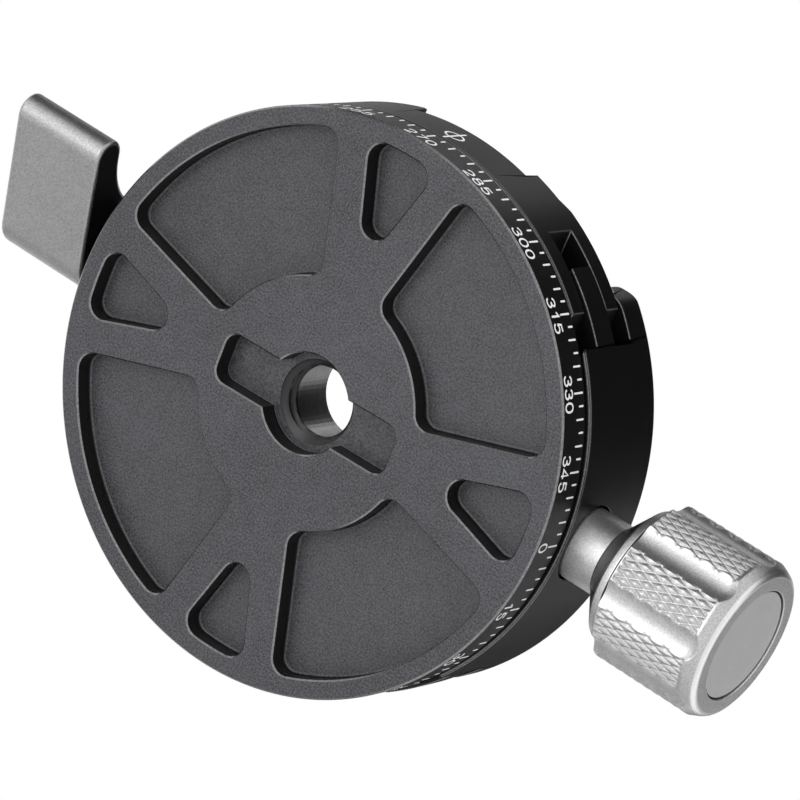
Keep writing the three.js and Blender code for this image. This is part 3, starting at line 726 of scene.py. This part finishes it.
def build_body():
    groove, groove_floor, step, step_floor, relief = 7.85, 12.0, 11.35, 14.35, 0.6
    channel = drawn_along_y([
        (-FOOT + LIP, TOP + OVER), (-FOOT + LIP, FLOOR + 1 + LIP), (-FOOT, FLOOR + 1), (-FOOT, FLOOR),
        (-groove - relief, FLOOR), (-groove, FLOOR - relief), (-groove, groove_floor), (groove, groove_floor),
        (groove, step_floor), (step, step_floor), (13.05, FLOOR), (PAST, FLOOR), (PAST, TOP + OVER),
    ])
    front = brick(SPLIT, PAST, -PAST, PAST, LOW, 21)
    # The hub's bores, the slots for the jaw's tongues, and the bores for bushes, stud and spindle.
    hub_bore, web_foot, web_bore, web_top, flange_bore = 13.3, 9.3, 9.5, 10.1, 11.8
    hub = upright([
        (hub_bore, LOW), (hub_bore, web_foot), (web_bore, web_foot), (web_bore, web_top),
        (flange_bore, web_top), (flange_bore, FLOOR + OVER),
    ], 120)
    slot_start, slot_side, slot_floor, slot_top = 15.14, 17, 7.65, 12.35
    slots = on_both_sides(slot_start, PAST, slot_side, PAST, slot_floor, slot_top)
    bush_bore, bush_root, stud_root = 2.9, 12.54, 13.9
    pins = pin_bores(bush_bore, bush_root, PAST, 40)
    stud = along_x([(STUD_BORE, stud_root), (STUD_BORE, PAST)], 48)
    spindle_bore, spindle_root, collar_bore, collar_seat = 2.7, -19.6, 4.7, -31.8
    spindle = along_x([
        (spindle_bore, spindle_root), (spindle_bore, collar_seat),
        (collar_bore, collar_seat), (collar_bore, -PAST),
    ], 48)
    shoe_back, shoe_front, shoe_half, shoe_top = -19.9, -12.42, 4.2, 12.9
    shoe = brick(shoe_back, shoe_front, -shoe_half, shoe_half, LOW, shoe_top)
    cross_bore, cross_top, cross_place = 1.3, 13.15, 19
    cross = upright([(cross_bore, LOW), (cross_bore, cross_top)], 24, cross_place)
    seat_outer, seat_inner, seat_top = 22.2, 15.8, 5.7
    seat = upright([(seat_outer, LOW), (seat_outer, seat_top)], 120)
    seat = carved(seat, upright([(seat_inner, 3), (seat_inner, 6)], 120))
    ends = end_cutters(FOOT - LIP, FLOOR, -1, 0)
    holes = merged(*slots, *pins, stud, spindle)
    return carved(round_bar(), front, channel, ends, hub, holes, merged(shoe, cross), seat)


clamp_piece = chamfered("clamp_casting", build_body(), body_black, edge_black)
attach(clamp_piece, "clamp")
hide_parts("clamp_body")
print("clamp body:", len(clamp_piece.data.polygons), "faces")


# %% The moving jaw
JAW_SHIFT, JAW_FOOT, JAW_BACK, JAW_FLOOR = 0.5, 21.2, 25.74, 15.2


def build_jaw():
    lip = JAW_FOOT - LIP
    behind = drawn_along_y([
        (-PAST, LOW), (JAW_BACK, LOW), (JAW_BACK, JAW_FLOOR), (JAW_FOOT, JAW_FLOOR), (JAW_FOOT, FLOOR + 1),
        (lip, FLOOR + 1 + LIP), (lip, TOP + OVER), (-PAST, TOP + OVER),
    ])
    tongue_start, tongue_side, tongue_floor, tongue_top = 19.19, 17.2, 7.85, 11.8
    tongues = on_both_sides(tongue_start, 36, tongue_side, 38, tongue_floor, tongue_top)
    behind = carved(behind, merged(*tongues))
    pin_bore, pin_end, stem_bore, stem_seat = 1.8, 29.54, 4.6, 28.69
    pins = pin_bores(pin_bore, 12, pin_end, 32)
    stud = along_x([(STUD_BORE, 12), (STUD_BORE, 36)], 48)
    seat = along_x([(stem_bore, stem_seat), (stem_bore, 36)], 64)
    ends = end_cutters(JAW_FOOT - JAW_SHIFT - LIP, JAW_FLOOR, 1, JAW_SHIFT)
    return carved(round_bar(JAW_SHIFT), behind, ends, merged(*pins, stud), seat)


jaw_piece = chamfered("sliding_jaw", build_jaw(), body_black, edge_black)
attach(jaw_piece, "jaw")
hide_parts("moving_jaw")
print("moving jaw:", len(jaw_piece.data.polygons), "faces")

# %% [markdown]
# The knob is turned, then knurled, then eight flutes are milled into it. The turned blank is a
# lathe mesh whose columns are close together on the lands. Geometry Nodes then knurl and flute
# it as the two machines do, by pressing points inwards, with every size a named input.

# %% The knob's turned blank
KNURLS, KNURL_STEP, KNURL_CUTS = 56, 2.53, 16
FLUTES, FLUTE_HALF, FLUTE_COLUMNS = 8, 10, 18
GRIP, KNURL_START, GRIP_END, TAPER, TAPER_LENGTH = 9.43, 41.35, 52.99, 0.44, 0.98


def knob_columns():
    """Angles round the knob. Those on a land stand where the knurl's grooves cross them."""
    fine = 360 / KNURLS / KNURL_CUTS
    pitch = 360 // FLUTES
    angles = []
    for k in range(FLUTES):
        start, end = pitch * k - FLUTE_HALF, pitch * k + FLUTE_HALF
        angles += [start + 2 * FLUTE_HALF * i / FLUTE_COLUMNS for i in range(FLUTE_COLUMNS)] + [end]
        first = ceil(end / fine + 0.2)
        last = floor((start + pitch) / fine - 0.2)
        angles += [fine * i for i in range(first, last + 1)]
    return [radians(angle) for angle in angles]


def turned(name, profile, angles, material, bored=True):
    """A turned piece along X. A row is (x, radius, whether the band that follows is rounded)."""
    shell = Shell()
    rings = [shell.ring(screw_ring(x, r, angles)) for x, r, _ in profile]
    shell.stack(rings, [i for i, (_, _, rounded) in enumerate(profile) if rounded])
    if bored:
        shell.band(rings[-1], rings[0])
    else:
        shell.fill(rings[0])
        shell.fill(rings[-1])
    return shell.finished(name, material)


def knob_profile():
    step, knurl_rows, taper_rows = KNURL_STEP / KNURL_CUTS, 73, 8
    stem_and_collar = [
        (29.89, 3.3, False), (29.89, 4.15, True), (30.04, 4.3, False), (36.9, 4.3, True),
        (37.05, 4.38, False), (39.5, 7.68, True), (39.66, 7.9, True), (39.84, 8.0, False),
        (40.45, 8.1, True), (40.56, 8.07, True), (40.61, 7.95, False), (40.61, 6.9, False),
        (41.12, 6.9, False), (41.12, 9.2, True), (41.16, 9.35, True), (41.25, GRIP, False),
    ]
    knurl = [(KNURL_START + step * i, GRIP, False) for i in range(knurl_rows)]
    shares = [i / taper_rows for i in range(taper_rows + 1)]
    taper = [(GRIP_END + TAPER_LENGTH * share, GRIP - TAPER * share, False) for share in shares]
    end_and_bore = [
        (54.15, 8.89, True), (54.31, 8.77, True), (54.45, 8.62, True), (54.54, 8.46, True),
        (54.59, 8.27, False), (54.59, 6.8, True), (54.55, 6.71, True), (54.48, 6.7, False),
        (53.19, 6.7, False), (53.19, 4.6, False), (45.99, 4.6, False), (45.99, 3.3, False),
    ]
    return stem_and_collar + knurl + taper + end_and_bore


knob_blank = turned("knob_blank", knob_profile(), knob_columns(), turned_silver_painted_shade)
print("knob blank:", len(knob_blank.data.polygons), "faces")


# %% Geometry Nodes that knurl and flute the blank
def new_tree(name, sizes, *first):
    """A Geometry Nodes tree, its first input, and its named sizes as links."""
    tree = bpy.data.node_groups.new(name, "GeometryNodeTree")
    tree.interface.new_socket("Geometry", in_out="OUTPUT", socket_type="NodeSocketGeometry")
    for socket in first:
        tree.interface.new_socket(socket, in_out="INPUT", socket_type="NodeSocketGeometry")
    for size, value in sizes.items():
        kind = "NodeSocketInt" if isinstance(value, int) else "NodeSocketFloat"
        tree.interface.new_socket(size, in_out="INPUT", socket_type=kind).default_value = value
    start = Link(tree).make("NodeGroupInput")
    return tree, start, {size: start.also(size) for size in sizes}


def knob_tree(sizes):
    tree, start, size = new_tree("knurl_and_flutes", sizes, "Geometry")
    place = start.make("GeometryNodeInputPosition")
    split = place.make("ShaderNodeSeparateXYZ", inputs={0: place}, output="X")
    x, y, up = split, split.also("Y"), split.also("Z") - size["Screw Height"]
    radius = (y * y + up * up) ** 0.5
    angle = up.maths("ARCTAN2", y)
    step = 2 * pi / size["Flutes"]
    off = angle - (angle / step).maths("ROUND") * step
    # Knurl: two families of grooves that cross, with low, blunt points between them.
    along = (x - size["Knurl Start"]) / size["Knurl Step"]
    first = angle / size["Knurl Turn"] + along
    second = angle / size["Knurl Turn"] - along
    ridges = [1 - abs(family.maths("FRACT") * 2 - 1) for family in (first, second)]
    low = ridges[0].least(ridges[1])
    cut = (low / size["Groove Share"]).least(1.0)
    slope = (low / size["Slope Share"]).least(1.0)
    crest = cut * size["Groove Part"] + slope * (1 - size["Groove Part"])
    into = (x - size["Knurl Start"]) / size["Knurl Fade"]
    out = (size["Knurl End"] - x) / size["Knurl Fade"]
    window = into.least(out).most(0.0).least(1.0)
    knurled = radius - window * size["Knurl Depth"] * (1 - crest)
    # Flutes: a round-nosed cutter, whose radius shrinks past the end of its straight run.
    past = (x - size["Flute Run"]).most(0.0)
    nose = (size["Cutter"] ** 2 - past * past).most(0.0)
    sideways = off.maths("SINE") * size["Cutter Centre"]
    inside = nose - sideways * sideways
    milled = off.maths("COSINE") * size["Cutter Centre"] - inside.most(0.0) ** 0.5
    reached = inside > 0.0
    final = knurled + (knurled.least(milled) - knurled) * reached
    grip = x > size["Grip Start"]
    outer = radius > size["Cap Radius"]
    scale = (radius + (final - radius) * grip * outer) / radius
    moved = x.make("ShaderNodeCombineXYZ", inputs={0: x, 1: y * scale, 2: up * scale + size["Screw Height"]})
    shape = moved.make("GeometryNodeSetPosition", inputs={"Geometry": start, "Position": moved})
    # The cone of the collar and the groove behind it keep the blank's turned finish, whose darker colour is
    # painted shade there.
    before = x < size["Cone Start"]
    ring = (x > size["Cone End"]) * (x < size["Groove Start"])
    high = (radius > size["Groove Top"]) + (x > size["Groove End"])
    satin = before.most(ring).most(high)
    # The two rims of its end take the brightest silver, a painted highlight.
    rims = abs(radius - size["End Middle"]) > size["End Half"]
    painted_highlight = rims * (x > size["End Start"])
    for chosen, material in ((satin, satin_silver), (painted_highlight, painted_highlight_silver)):
        inputs = {"Geometry": shape, "Selection": chosen, "Material": material}
        shape = shape.make("GeometryNodeSetMaterial", inputs=inputs)
    shape.feed(tree.nodes.new("NodeGroupOutput"), 0)
    return tree


knob_sizes = {
    "Screw Height": SCREW * MM, "Grip Start": 40.95 * MM, "Cap Radius": 6.8 * MM,
    "Cone Start": 36.95 * MM, "Cone End": 39.55 * MM,
    "Groove Start": 40.6 * MM, "Groove End": 41.13 * MM, "Groove Top": 9.0 * MM,
    "End Middle": 7.545 * MM, "End Half": 0.73 * MM, "End Start": 54.1 * MM,
    "Flutes": float(FLUTES), "Cutter": 3.16 * MM, "Cutter Centre": 11.99 * MM, "Flute Run": 52.19 * MM,
    "Knurl Turn": 2 * pi / KNURLS, "Knurl Step": KNURL_STEP * MM, "Knurl Depth": 0.26 * MM,
    "Groove Share": 0.125, "Groove Part": 0.30, "Slope Share": 0.82,
    "Knurl Start": KNURL_START * MM, "Knurl End": 52.74 * MM, "Knurl Fade": 0.12 * MM,
}


def made_by_nodes(piece, tree, values, name):
    """The piece that a Geometry Nodes tree makes, as a plain mesh without the modifier."""
    step = piece.modifiers.new("nodes", "NODES")
    step.node_group = tree
    for socket in tree.interface.items_tree:
        if socket.in_out == "INPUT" and socket.name in values:
            step[socket.identifier] = values[socket.name]
    return placed(name, evaluated_mesh(piece))


knob = made_by_nodes(knob_blank, knob_tree(knob_sizes), knob_sizes, "fluted_knob")
knob.data.shade_smooth()
set_normals(knob.data, set())
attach(knob, "knob")
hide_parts("clamp_knob")
print("knob:", len(knob.data.polygons), "faces", [round(v * 1000, 2) for v in knob.dimensions])

# %% [markdown]
# The cap is a thin disc in the knob's end, with a dark gap round it. The collar under the lever
# is turned by the same function, and the two cap screws get one of their own.

# %% Cap, lever collar and screws
cap = turned("knob_end_disc", [
    (53.49, 6.5, False), (54.30, 6.5, True), (54.36, 6.48, True), (54.39, 6.42, False),
], even_angles(128), cap_grey, bored=False)
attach(cap, "knob")
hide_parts("knob_cap")

collar = turned("lever_spacer", [
    (-32.1, 2.7, False), (-32.1, 4.25, True), (-32.25, 4.4, False),
    (-35.35, 4.4, True), (-35.5, 4.25, False), (-35.5, 2.7, False),
], even_angles(64), body_black)
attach(collar, "clamp")
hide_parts("lever_collar")


def cap_screw(name, x_head, x_foot, head, shank, x_tip, socket, side, body, node):
    """A socket head screw along X. Side is +1 when its head faces +X."""
    shell = Shell()
    turns, point, edge, rim, depth = even_angles(48), 0.2, 0.3, 0.08, 1.1

    def hexagon(x, size):
        spots = []
        for t in turns:
            reach = cos(pi / 6) / cos(t % (pi / 3) - pi / 6)
            spots += screw_ring(x, size * reach, [t])
        return shell.ring(spots)

    rows = [(x_tip, shank - point), (x_tip + side * edge, shank), (x_foot, shank), (x_foot, head)]
    rows += [(x_head - side * edge, head), (x_head - side * rim, head - rim), (x_head, head - edge)]
    rings = [shell.ring(screw_ring(x, r, turns)) for x, r in rows]
    rings += [hexagon(x_head, socket), hexagon(x_head - side * depth, socket * 0.97)]
    shell.fill(rings[0])
    shell.stack(rings, (4, 5))
    shell.fill(rings[-1])
    screw = shell.finished(name, steel)
    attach(screw, body)
    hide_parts(node)


cap_screw("lever_cap_screw", -47.4, -44.5, 3.6, 1.4, -38.5, 1.9, -1, "lever", "lever_screw")
cap_screw("stud_cap_screw", 50.89, 49.49, 4.0, 1.5, 45.19, 1.7, 1, "clamp", "stud_end_screw")

# %% [markdown]
# The pan lever is a sawn bar: a hub round its spindle, a flat front and a full round tip. Its
# outline is stepped inwards at both ends for soft edges, as the pockets of the base are.

# %% The pan lever
LEVER_START, LEVER_END, TILT = 35.8, 48.0, radians(20)
SOFT_EDGE, SOFT_STEPS = 0.45, 5


def lever_outline():
    hub, inner, front, reach, blend_radius = 5.2, 1.85, 5.95, 15.6, 9.6
    tip, side, heel = (front - inner) / 2, (front + inner) / 2, 4.0
    blend_side = blend_radius - inner
    along = sqrt((hub + blend_radius) ** 2 - blend_side ** 2)
    blend_turn = atan2(blend_side, along)
    points = arc(0, 0, hub, blend_turn - pi / 2, pi / 2, 30)
    points += arc(heel - front, hub - heel, heel, pi / 2, pi, 20)
    points += arc(-side, tip - reach, tip, pi, 2 * pi, 28)
    points += arc(blend_side, -along, blend_radius, pi, pi / 2 + blend_turn, 20)[:-1]
    return points


def build_lever():
    shell = Shell()
    c, s = cos(TILT), sin(TILT)

    def level(points, out):
        return shell.ring([(-out, -u * s + v * c, SCREW + u * c + v * s) for u, v in points])

    outline = lever_outline()
    rows = []
    for i in range(SOFT_STEPS + 1):
        a = i / SOFT_STEPS * pi / 2
        rows.append((SOFT_EDGE * (1 - sin(a)), LEVER_START + SOFT_EDGE * (1 - cos(a))))
    rows += [(inset, LEVER_START + LEVER_END - out) for inset, out in reversed(rows)]
    rings = [level(stepped_in(outline, inset), out) for inset, out in rows]
    shell.stack(rings, [i for i in range(len(rings) - 1) if i != SOFT_STEPS])
    spindle_bore, head_bore, head_seat, mouth = 2.7, 3.9, 44.2, 0.15
    profile = [(spindle_bore, LEVER_START), (spindle_bore, head_seat), (head_bore, head_seat)]
    profile += [(head_bore, LEVER_END - mouth), (head_bore + mouth, LEVER_END)]
    turns = even_angles(64)
    hole = [level([on_circle(r, t) for t in turns], out) for r, out in profile]
    shell.stack(hole)
    # The face towards the clamp takes the body's black, painted shade on the silver lever.
    shell.fill(rings[0], hole[0], mark=1)
    shell.fill(rings[-1], hole[-1])
    return shell.finished("round_tip_lever", lever_silver, body_black)


lever = build_lever()
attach(lever, "lever")
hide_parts("pan_lever")
print("lever:", len(lever.data.polygons), "faces")

# %% [markdown]
# The scale has a mark every 2.5 degrees: long at each number, and short and medium in turn
# between them. The marks repeat, so Geometry Nodes place them on the band. Each is a thin bar
# with round ends, and only its length changes.

# %% Geometry Nodes for the scale's marks
SCALE_TURN = -0.55


def marks_tree(sizes):
    tree, start, size = new_tree("scale_marks", sizes)
    bar = start.make(
        "GeometryNodeMeshCircle", {"fill_type": "NGON"}, {"Vertices": 12, "Radius": size["Width"] / 2})
    thick = bar.make("GeometryNodeExtrudeMesh", inputs={"Mesh": bar, "Offset Scale": size["Thickness"]})
    where = thick.make("GeometryNodeInputPosition")
    split = where.make("ShaderNodeSeparateXYZ", inputs={0: where}, output="X")
    lower = 0 - split.also("Y") > 1e-6
    index = start.make("GeometryNodeInputIndex")
    step = index % 6.0
    odd = step % 2.0
    kinds = {
        "Long": step < 0.5,
        "Medium": (odd < 0.5) * (step > 0.5),
        "Short": odd > 0.5,
    }
    points = start.make("GeometryNodePoints", inputs={"Count": size["Marks"]})
    angle = index * (2 * pi / size["Marks"]) + size["Turn"]
    spot = angle.make("ShaderNodeCombineXYZ", inputs={
        0: angle.maths("COSINE") * size["Radius"],
        1: angle.maths("SINE") * size["Radius"],
        2: size["Top"] - size["Width"] / 2,
    })
    turn_to = angle.make("ShaderNodeCombineXYZ", inputs={0: pi / 2, 1: 0.0, 2: angle + pi / 2})
    ring = points.make("GeometryNodeSetPosition", inputs={"Geometry": points, "Position": spot})
    groups = []
    for kind, chosen in kinds.items():
        drop = size[kind] - size["Width"]
        down = drop.make("ShaderNodeCombineXYZ", inputs={0: 0.0, 1: 0 - drop, 2: 0.0})
        longer = down.make(
            "GeometryNodeSetPosition", inputs={"Geometry": thick, "Selection": lower, "Offset": down})
        groups.append(longer.make("GeometryNodeInstanceOnPoints", inputs={
            "Points": ring, "Selection": chosen, "Instance": longer, "Rotation": turn_to,
        }))
    joined = groups[0].make("GeometryNodeJoinGeometry")
    for group in groups:
        group.feed(joined.socket.node, 0)
    real = joined.make("GeometryNodeRealizeInstances", inputs={0: joined})
    painted = real.make("GeometryNodeSetMaterial", inputs={"Geometry": real, "Material": white_paint})
    painted.feed(tree.nodes.new("NodeGroupOutput"), 0)
    return tree


mark_sizes = {
    "Marks": 144, "Radius": (RADIUS - 0.01) * MM, "Width": 0.23 * MM, "Thickness": 0.03 * MM,
    "Top": 4.26 * MM, "Long": 1.85 * MM, "Medium": 1.5 * MM, "Short": 0.95 * MM,
    "Turn": radians(SCALE_TURN),
}
marks_start = shown("marks_start", bpy.data.meshes.new("marks_start"))
marks = made_by_nodes(marks_start, marks_tree(mark_sizes), mark_sizes, "scale_marks")
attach(marks, "base")
print("scale marks:", len(marks.data.polygons), "faces")

# %% [markdown]
# The scale's numbers are round and plain, with one width of stroke, as an engraving cutter
# leaves them. A font could be used, but its strokes differ, so each digit here is one or two
# centre lines. A smooth curve runs through the points of a line, and a ribbon follows it.

# %% Digits from strokes
DIGIT_LOW, DIGIT_HIGH, DIGIT_WIDTH, DIGIT_STEP, STROKE = 0.45, 2.15, 1.19, 1.42, 0.235


def oval(*right):
    """A loop from the points down its right side, mirrored for its left."""
    return ("loop", [*right] + [(-x, y) for x, y in right[-2:0:-1]])


LOWER = (0.36, 0.08), (0, 0)
DIGITS = {
    "0": [oval((0, 1), (0.36, 0.87), (0.5, 0.5), (0.36, 0.13), (0, 0))],
    "1": [("line", [(-0.34, 0.74), (0.12, 1), (0.12, 0)])],
    "2": [
        ("curve", [
            (-0.46, 0.72), (-0.32, 0.94), (0, 1), (0.36, 0.93), (0.46, 0.7), (0.3, 0.46), (-0.12, 0.22),
            (-0.48, 0),
        ]),
        ("line", [(-0.48, 0), (0.5, 0)]),
    ],
    "3": [
        ("curve", [
            (-0.45, 0.78), (-0.32, 0.94), (0, 1), (0.34, 0.92), (0.42, 0.75), (0.28, 0.58), (-0.08, 0.53),
        ]),
        ("curve", [
            (-0.08, 0.53), (0.34, 0.46), (0.5, 0.27), (0.34, 0.07), (0, 0), (-0.36, 0.06), (-0.5, 0.24),
        ]),
    ],
    "4": [("line", [(0.2, 0), (0.2, 1), (-0.52, 0.25), (0.52, 0.25)])],
    "5": [
        ("line", [(0.44, 1), (-0.34, 1), (-0.45, 0.48)]),
        ("curve", [
            (-0.45, 0.48), (-0.2, 0.6), (0.1, 0.63), (0.4, 0.52), (0.5, 0.31), *LOWER,
            (-0.34, 0.06), (-0.5, 0.22),
        ]),
    ],
    "6": [
        oval((0, 0.62), (0.36, 0.55), (0.5, 0.31), *LOWER),
        ("curve", [(-0.5, 0.31), (-0.46, 0.66), (-0.24, 0.93), (0.1, 1), (0.42, 0.86)]),
    ],
    "7": [("line", [(-0.48, 1), (0.46, 1), (-0.14, 0)])],
    "8": [
        oval((0, 1), (0.3, 0.94), (0.4, 0.77), (0.28, 0.6), (0, 0.54)),
        oval((0, 0.54), (0.36, 0.48), (0.5, 0.27), (0.36, 0.06), (0, 0)),
    ],
}
DIGITS["9"] = [(kind, [(-x, 1 - y) for x, y in points]) for kind, points in DIGITS["6"]]


def smoothed(points, closed_loop):
    """A curve through the points, five steps from each to the next."""
    count = len(points)
    corners = [Vector(point) for point in points]

    def at(i):
        return corners[i % count] if closed_loop else corners[min(max(i, 0), count - 1)]

    out = []
    for i in range(count if closed_loop else count - 1):
        a, b, c, d = (at(i + k) for k in (-1, 0, 1, 2))
        for k in range(5):
            t = k / 5
            bend, twist = 2 * a - 5 * b + 4 * c - d, 3 * b - a - 3 * c + d
            out.append(0.5 * (2 * b + (c - a) * t + bend * t ** 2 + twist * t ** 3))
    return out if closed_loop else out + [corners[-1]]


def ribbon(points, width, closed_loop):
    """A flat strip along a line of points, as its points and faces."""
    count = len(points)
    steps = [(points[(i + 1) % count] - point).normalized() for i, point in enumerate(points)]
    sides = []
    for i, point in enumerate(points):
        first = steps[i - 1] if closed_loop or i else steps[0]
        second = steps[i] if closed_loop or i < count - 1 else first
        across = Vector((-first.y - second.y, first.x + second.x)) / max(1 + first.dot(second), 0.35)
        sides += [point + across * width / 2, point - across * width / 2]
    faces = []
    for i in range(count if closed_loop else count - 1):
        j = (i + 1) % count
        faces.append((2 * i, 2 * i + 1, 2 * j + 1, 2 * j))
    return np.array(sides), faces


def digit_strokes(digit):
    """The digit's strips in millimetres, centred on its middle."""
    high = DIGIT_HIGH - DIGIT_LOW - STROKE
    for kind, points in DIGITS[digit]:
        spots = [Vector((x * (DIGIT_WIDTH - STROKE), y * high + STROKE / 2)) for x, y in points]
        closed_loop = kind == "loop"
        yield ribbon(spots if kind == "line" else smoothed(spots, closed_loop), STROKE, closed_loop)


# %% Flat marks bent round the band
TOUCHING = 1e-7  # metres


def wrapped(name, flats, material, body):
    """Flat faces given as (points, faces, angle, height, lift), bent round the band."""
    mesh = bmesh.new()
    for points, sides, angle, height, lift in flats:
        r = (RADIUS + lift) * MM
        spots = [(*on_circle(r, angle + u / RADIUS), (height + v) * MM) for u, v in points]
        corners = [mesh.verts.new(spot) for spot in spots]
        for side in sides:
            mesh.faces.new([corners[i] for i in side])
    bmesh.ops.remove_doubles(mesh, verts=mesh.verts, dist=TOUCHING)
    mesh.normal_update()
    for face in mesh.faces:
        if face.normal.xy.dot(face.calc_center_median().xy) < 0:
            face.normal_flip()
    piece = placed(name, ended(mesh, name), material)
    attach(piece, body)


LIFT, LIFT_STEP = 0.014, 0.004  # strokes lie off the band, and each a little over the last
flats = []
for number in range(0, 360, 15):
    digits = str(number)
    for i, digit in enumerate(digits):
        off = (i - (len(digits) - 1) / 2) * DIGIT_STEP
        for k, (points, faces) in enumerate(digit_strokes(digit)):
            turn_by = radians(number + SCALE_TURN)
            lift = LIFT + LIFT_STEP * k
            flats.append((points + np.array([off, 0.0]), faces, turn_by, DIGIT_LOW, lift))
wrapped("scale_numbers", flats, white_paint, "base")
print("numbers:", len(flats), "strokes")

# %% The index mark on the clamp
INDEX_HEIGHT, INDEX_OUTER, INDEX_INNER, INDEX_SIDES = 7.8, 1.2, 0.94, 40
HALF_LINE, LINE_END, LINE_TIP = 0.14, 2.2, 2.6
ring_points, ring_faces = [], []
for i, t in enumerate(even_angles(INDEX_SIDES)):
    ring_points += [on_circle(r, t) for r in (INDEX_OUTER, INDEX_INNER)]
    j = (i + 1) % INDEX_SIDES
    ring_faces.append((2 * i, 2 * j, 2 * j + 1, 2 * i + 1))
line_points = [
    (-HALF_LINE, -LINE_END), (0.0, -LINE_TIP), (HALF_LINE, -LINE_END),
    (HALF_LINE, LINE_END), (0.0, LINE_TIP), (-HALF_LINE, LINE_END),
]
front = radians(270)
wrapped("index_mark", [
    (np.array(ring_points), ring_faces, front, INDEX_HEIGHT, 0.015),
    (np.array(line_points), [tuple(range(len(line_points)))], front, INDEX_HEIGHT, 0.022),
], white_paint, "clamp")

# %% [markdown]
# The rest of the solids have the right shape already and only need their finish: the pivot nut,
# the washers, the stud, pins, bushes, springs, the spindle and the brake shoe.

# %% Finishes for the solids that stay
kept = [
    (turned_steel, ["pivot_nut", "nut_lock_screw", "retaining_washer"]),
    (steel, ["clamp_stud", "stud_cross_pin", "lever_spindle", "guide_pin_front", "guide_pin_rear"]),
    (steel, ["jaw_spring_front", "jaw_spring_rear"]),
    (bronze, ["guide_bush_front", "guide_bush_rear", "brake_shoe"]),
    (nylon, ["thrust_washer", "knob_washer"]),
]
for material, nodes in kept:
    for node in nodes:
        frame["nodes"][node].data.materials[0] = material
print("solids kept:", sum(len(nodes) for _, nodes in kept))
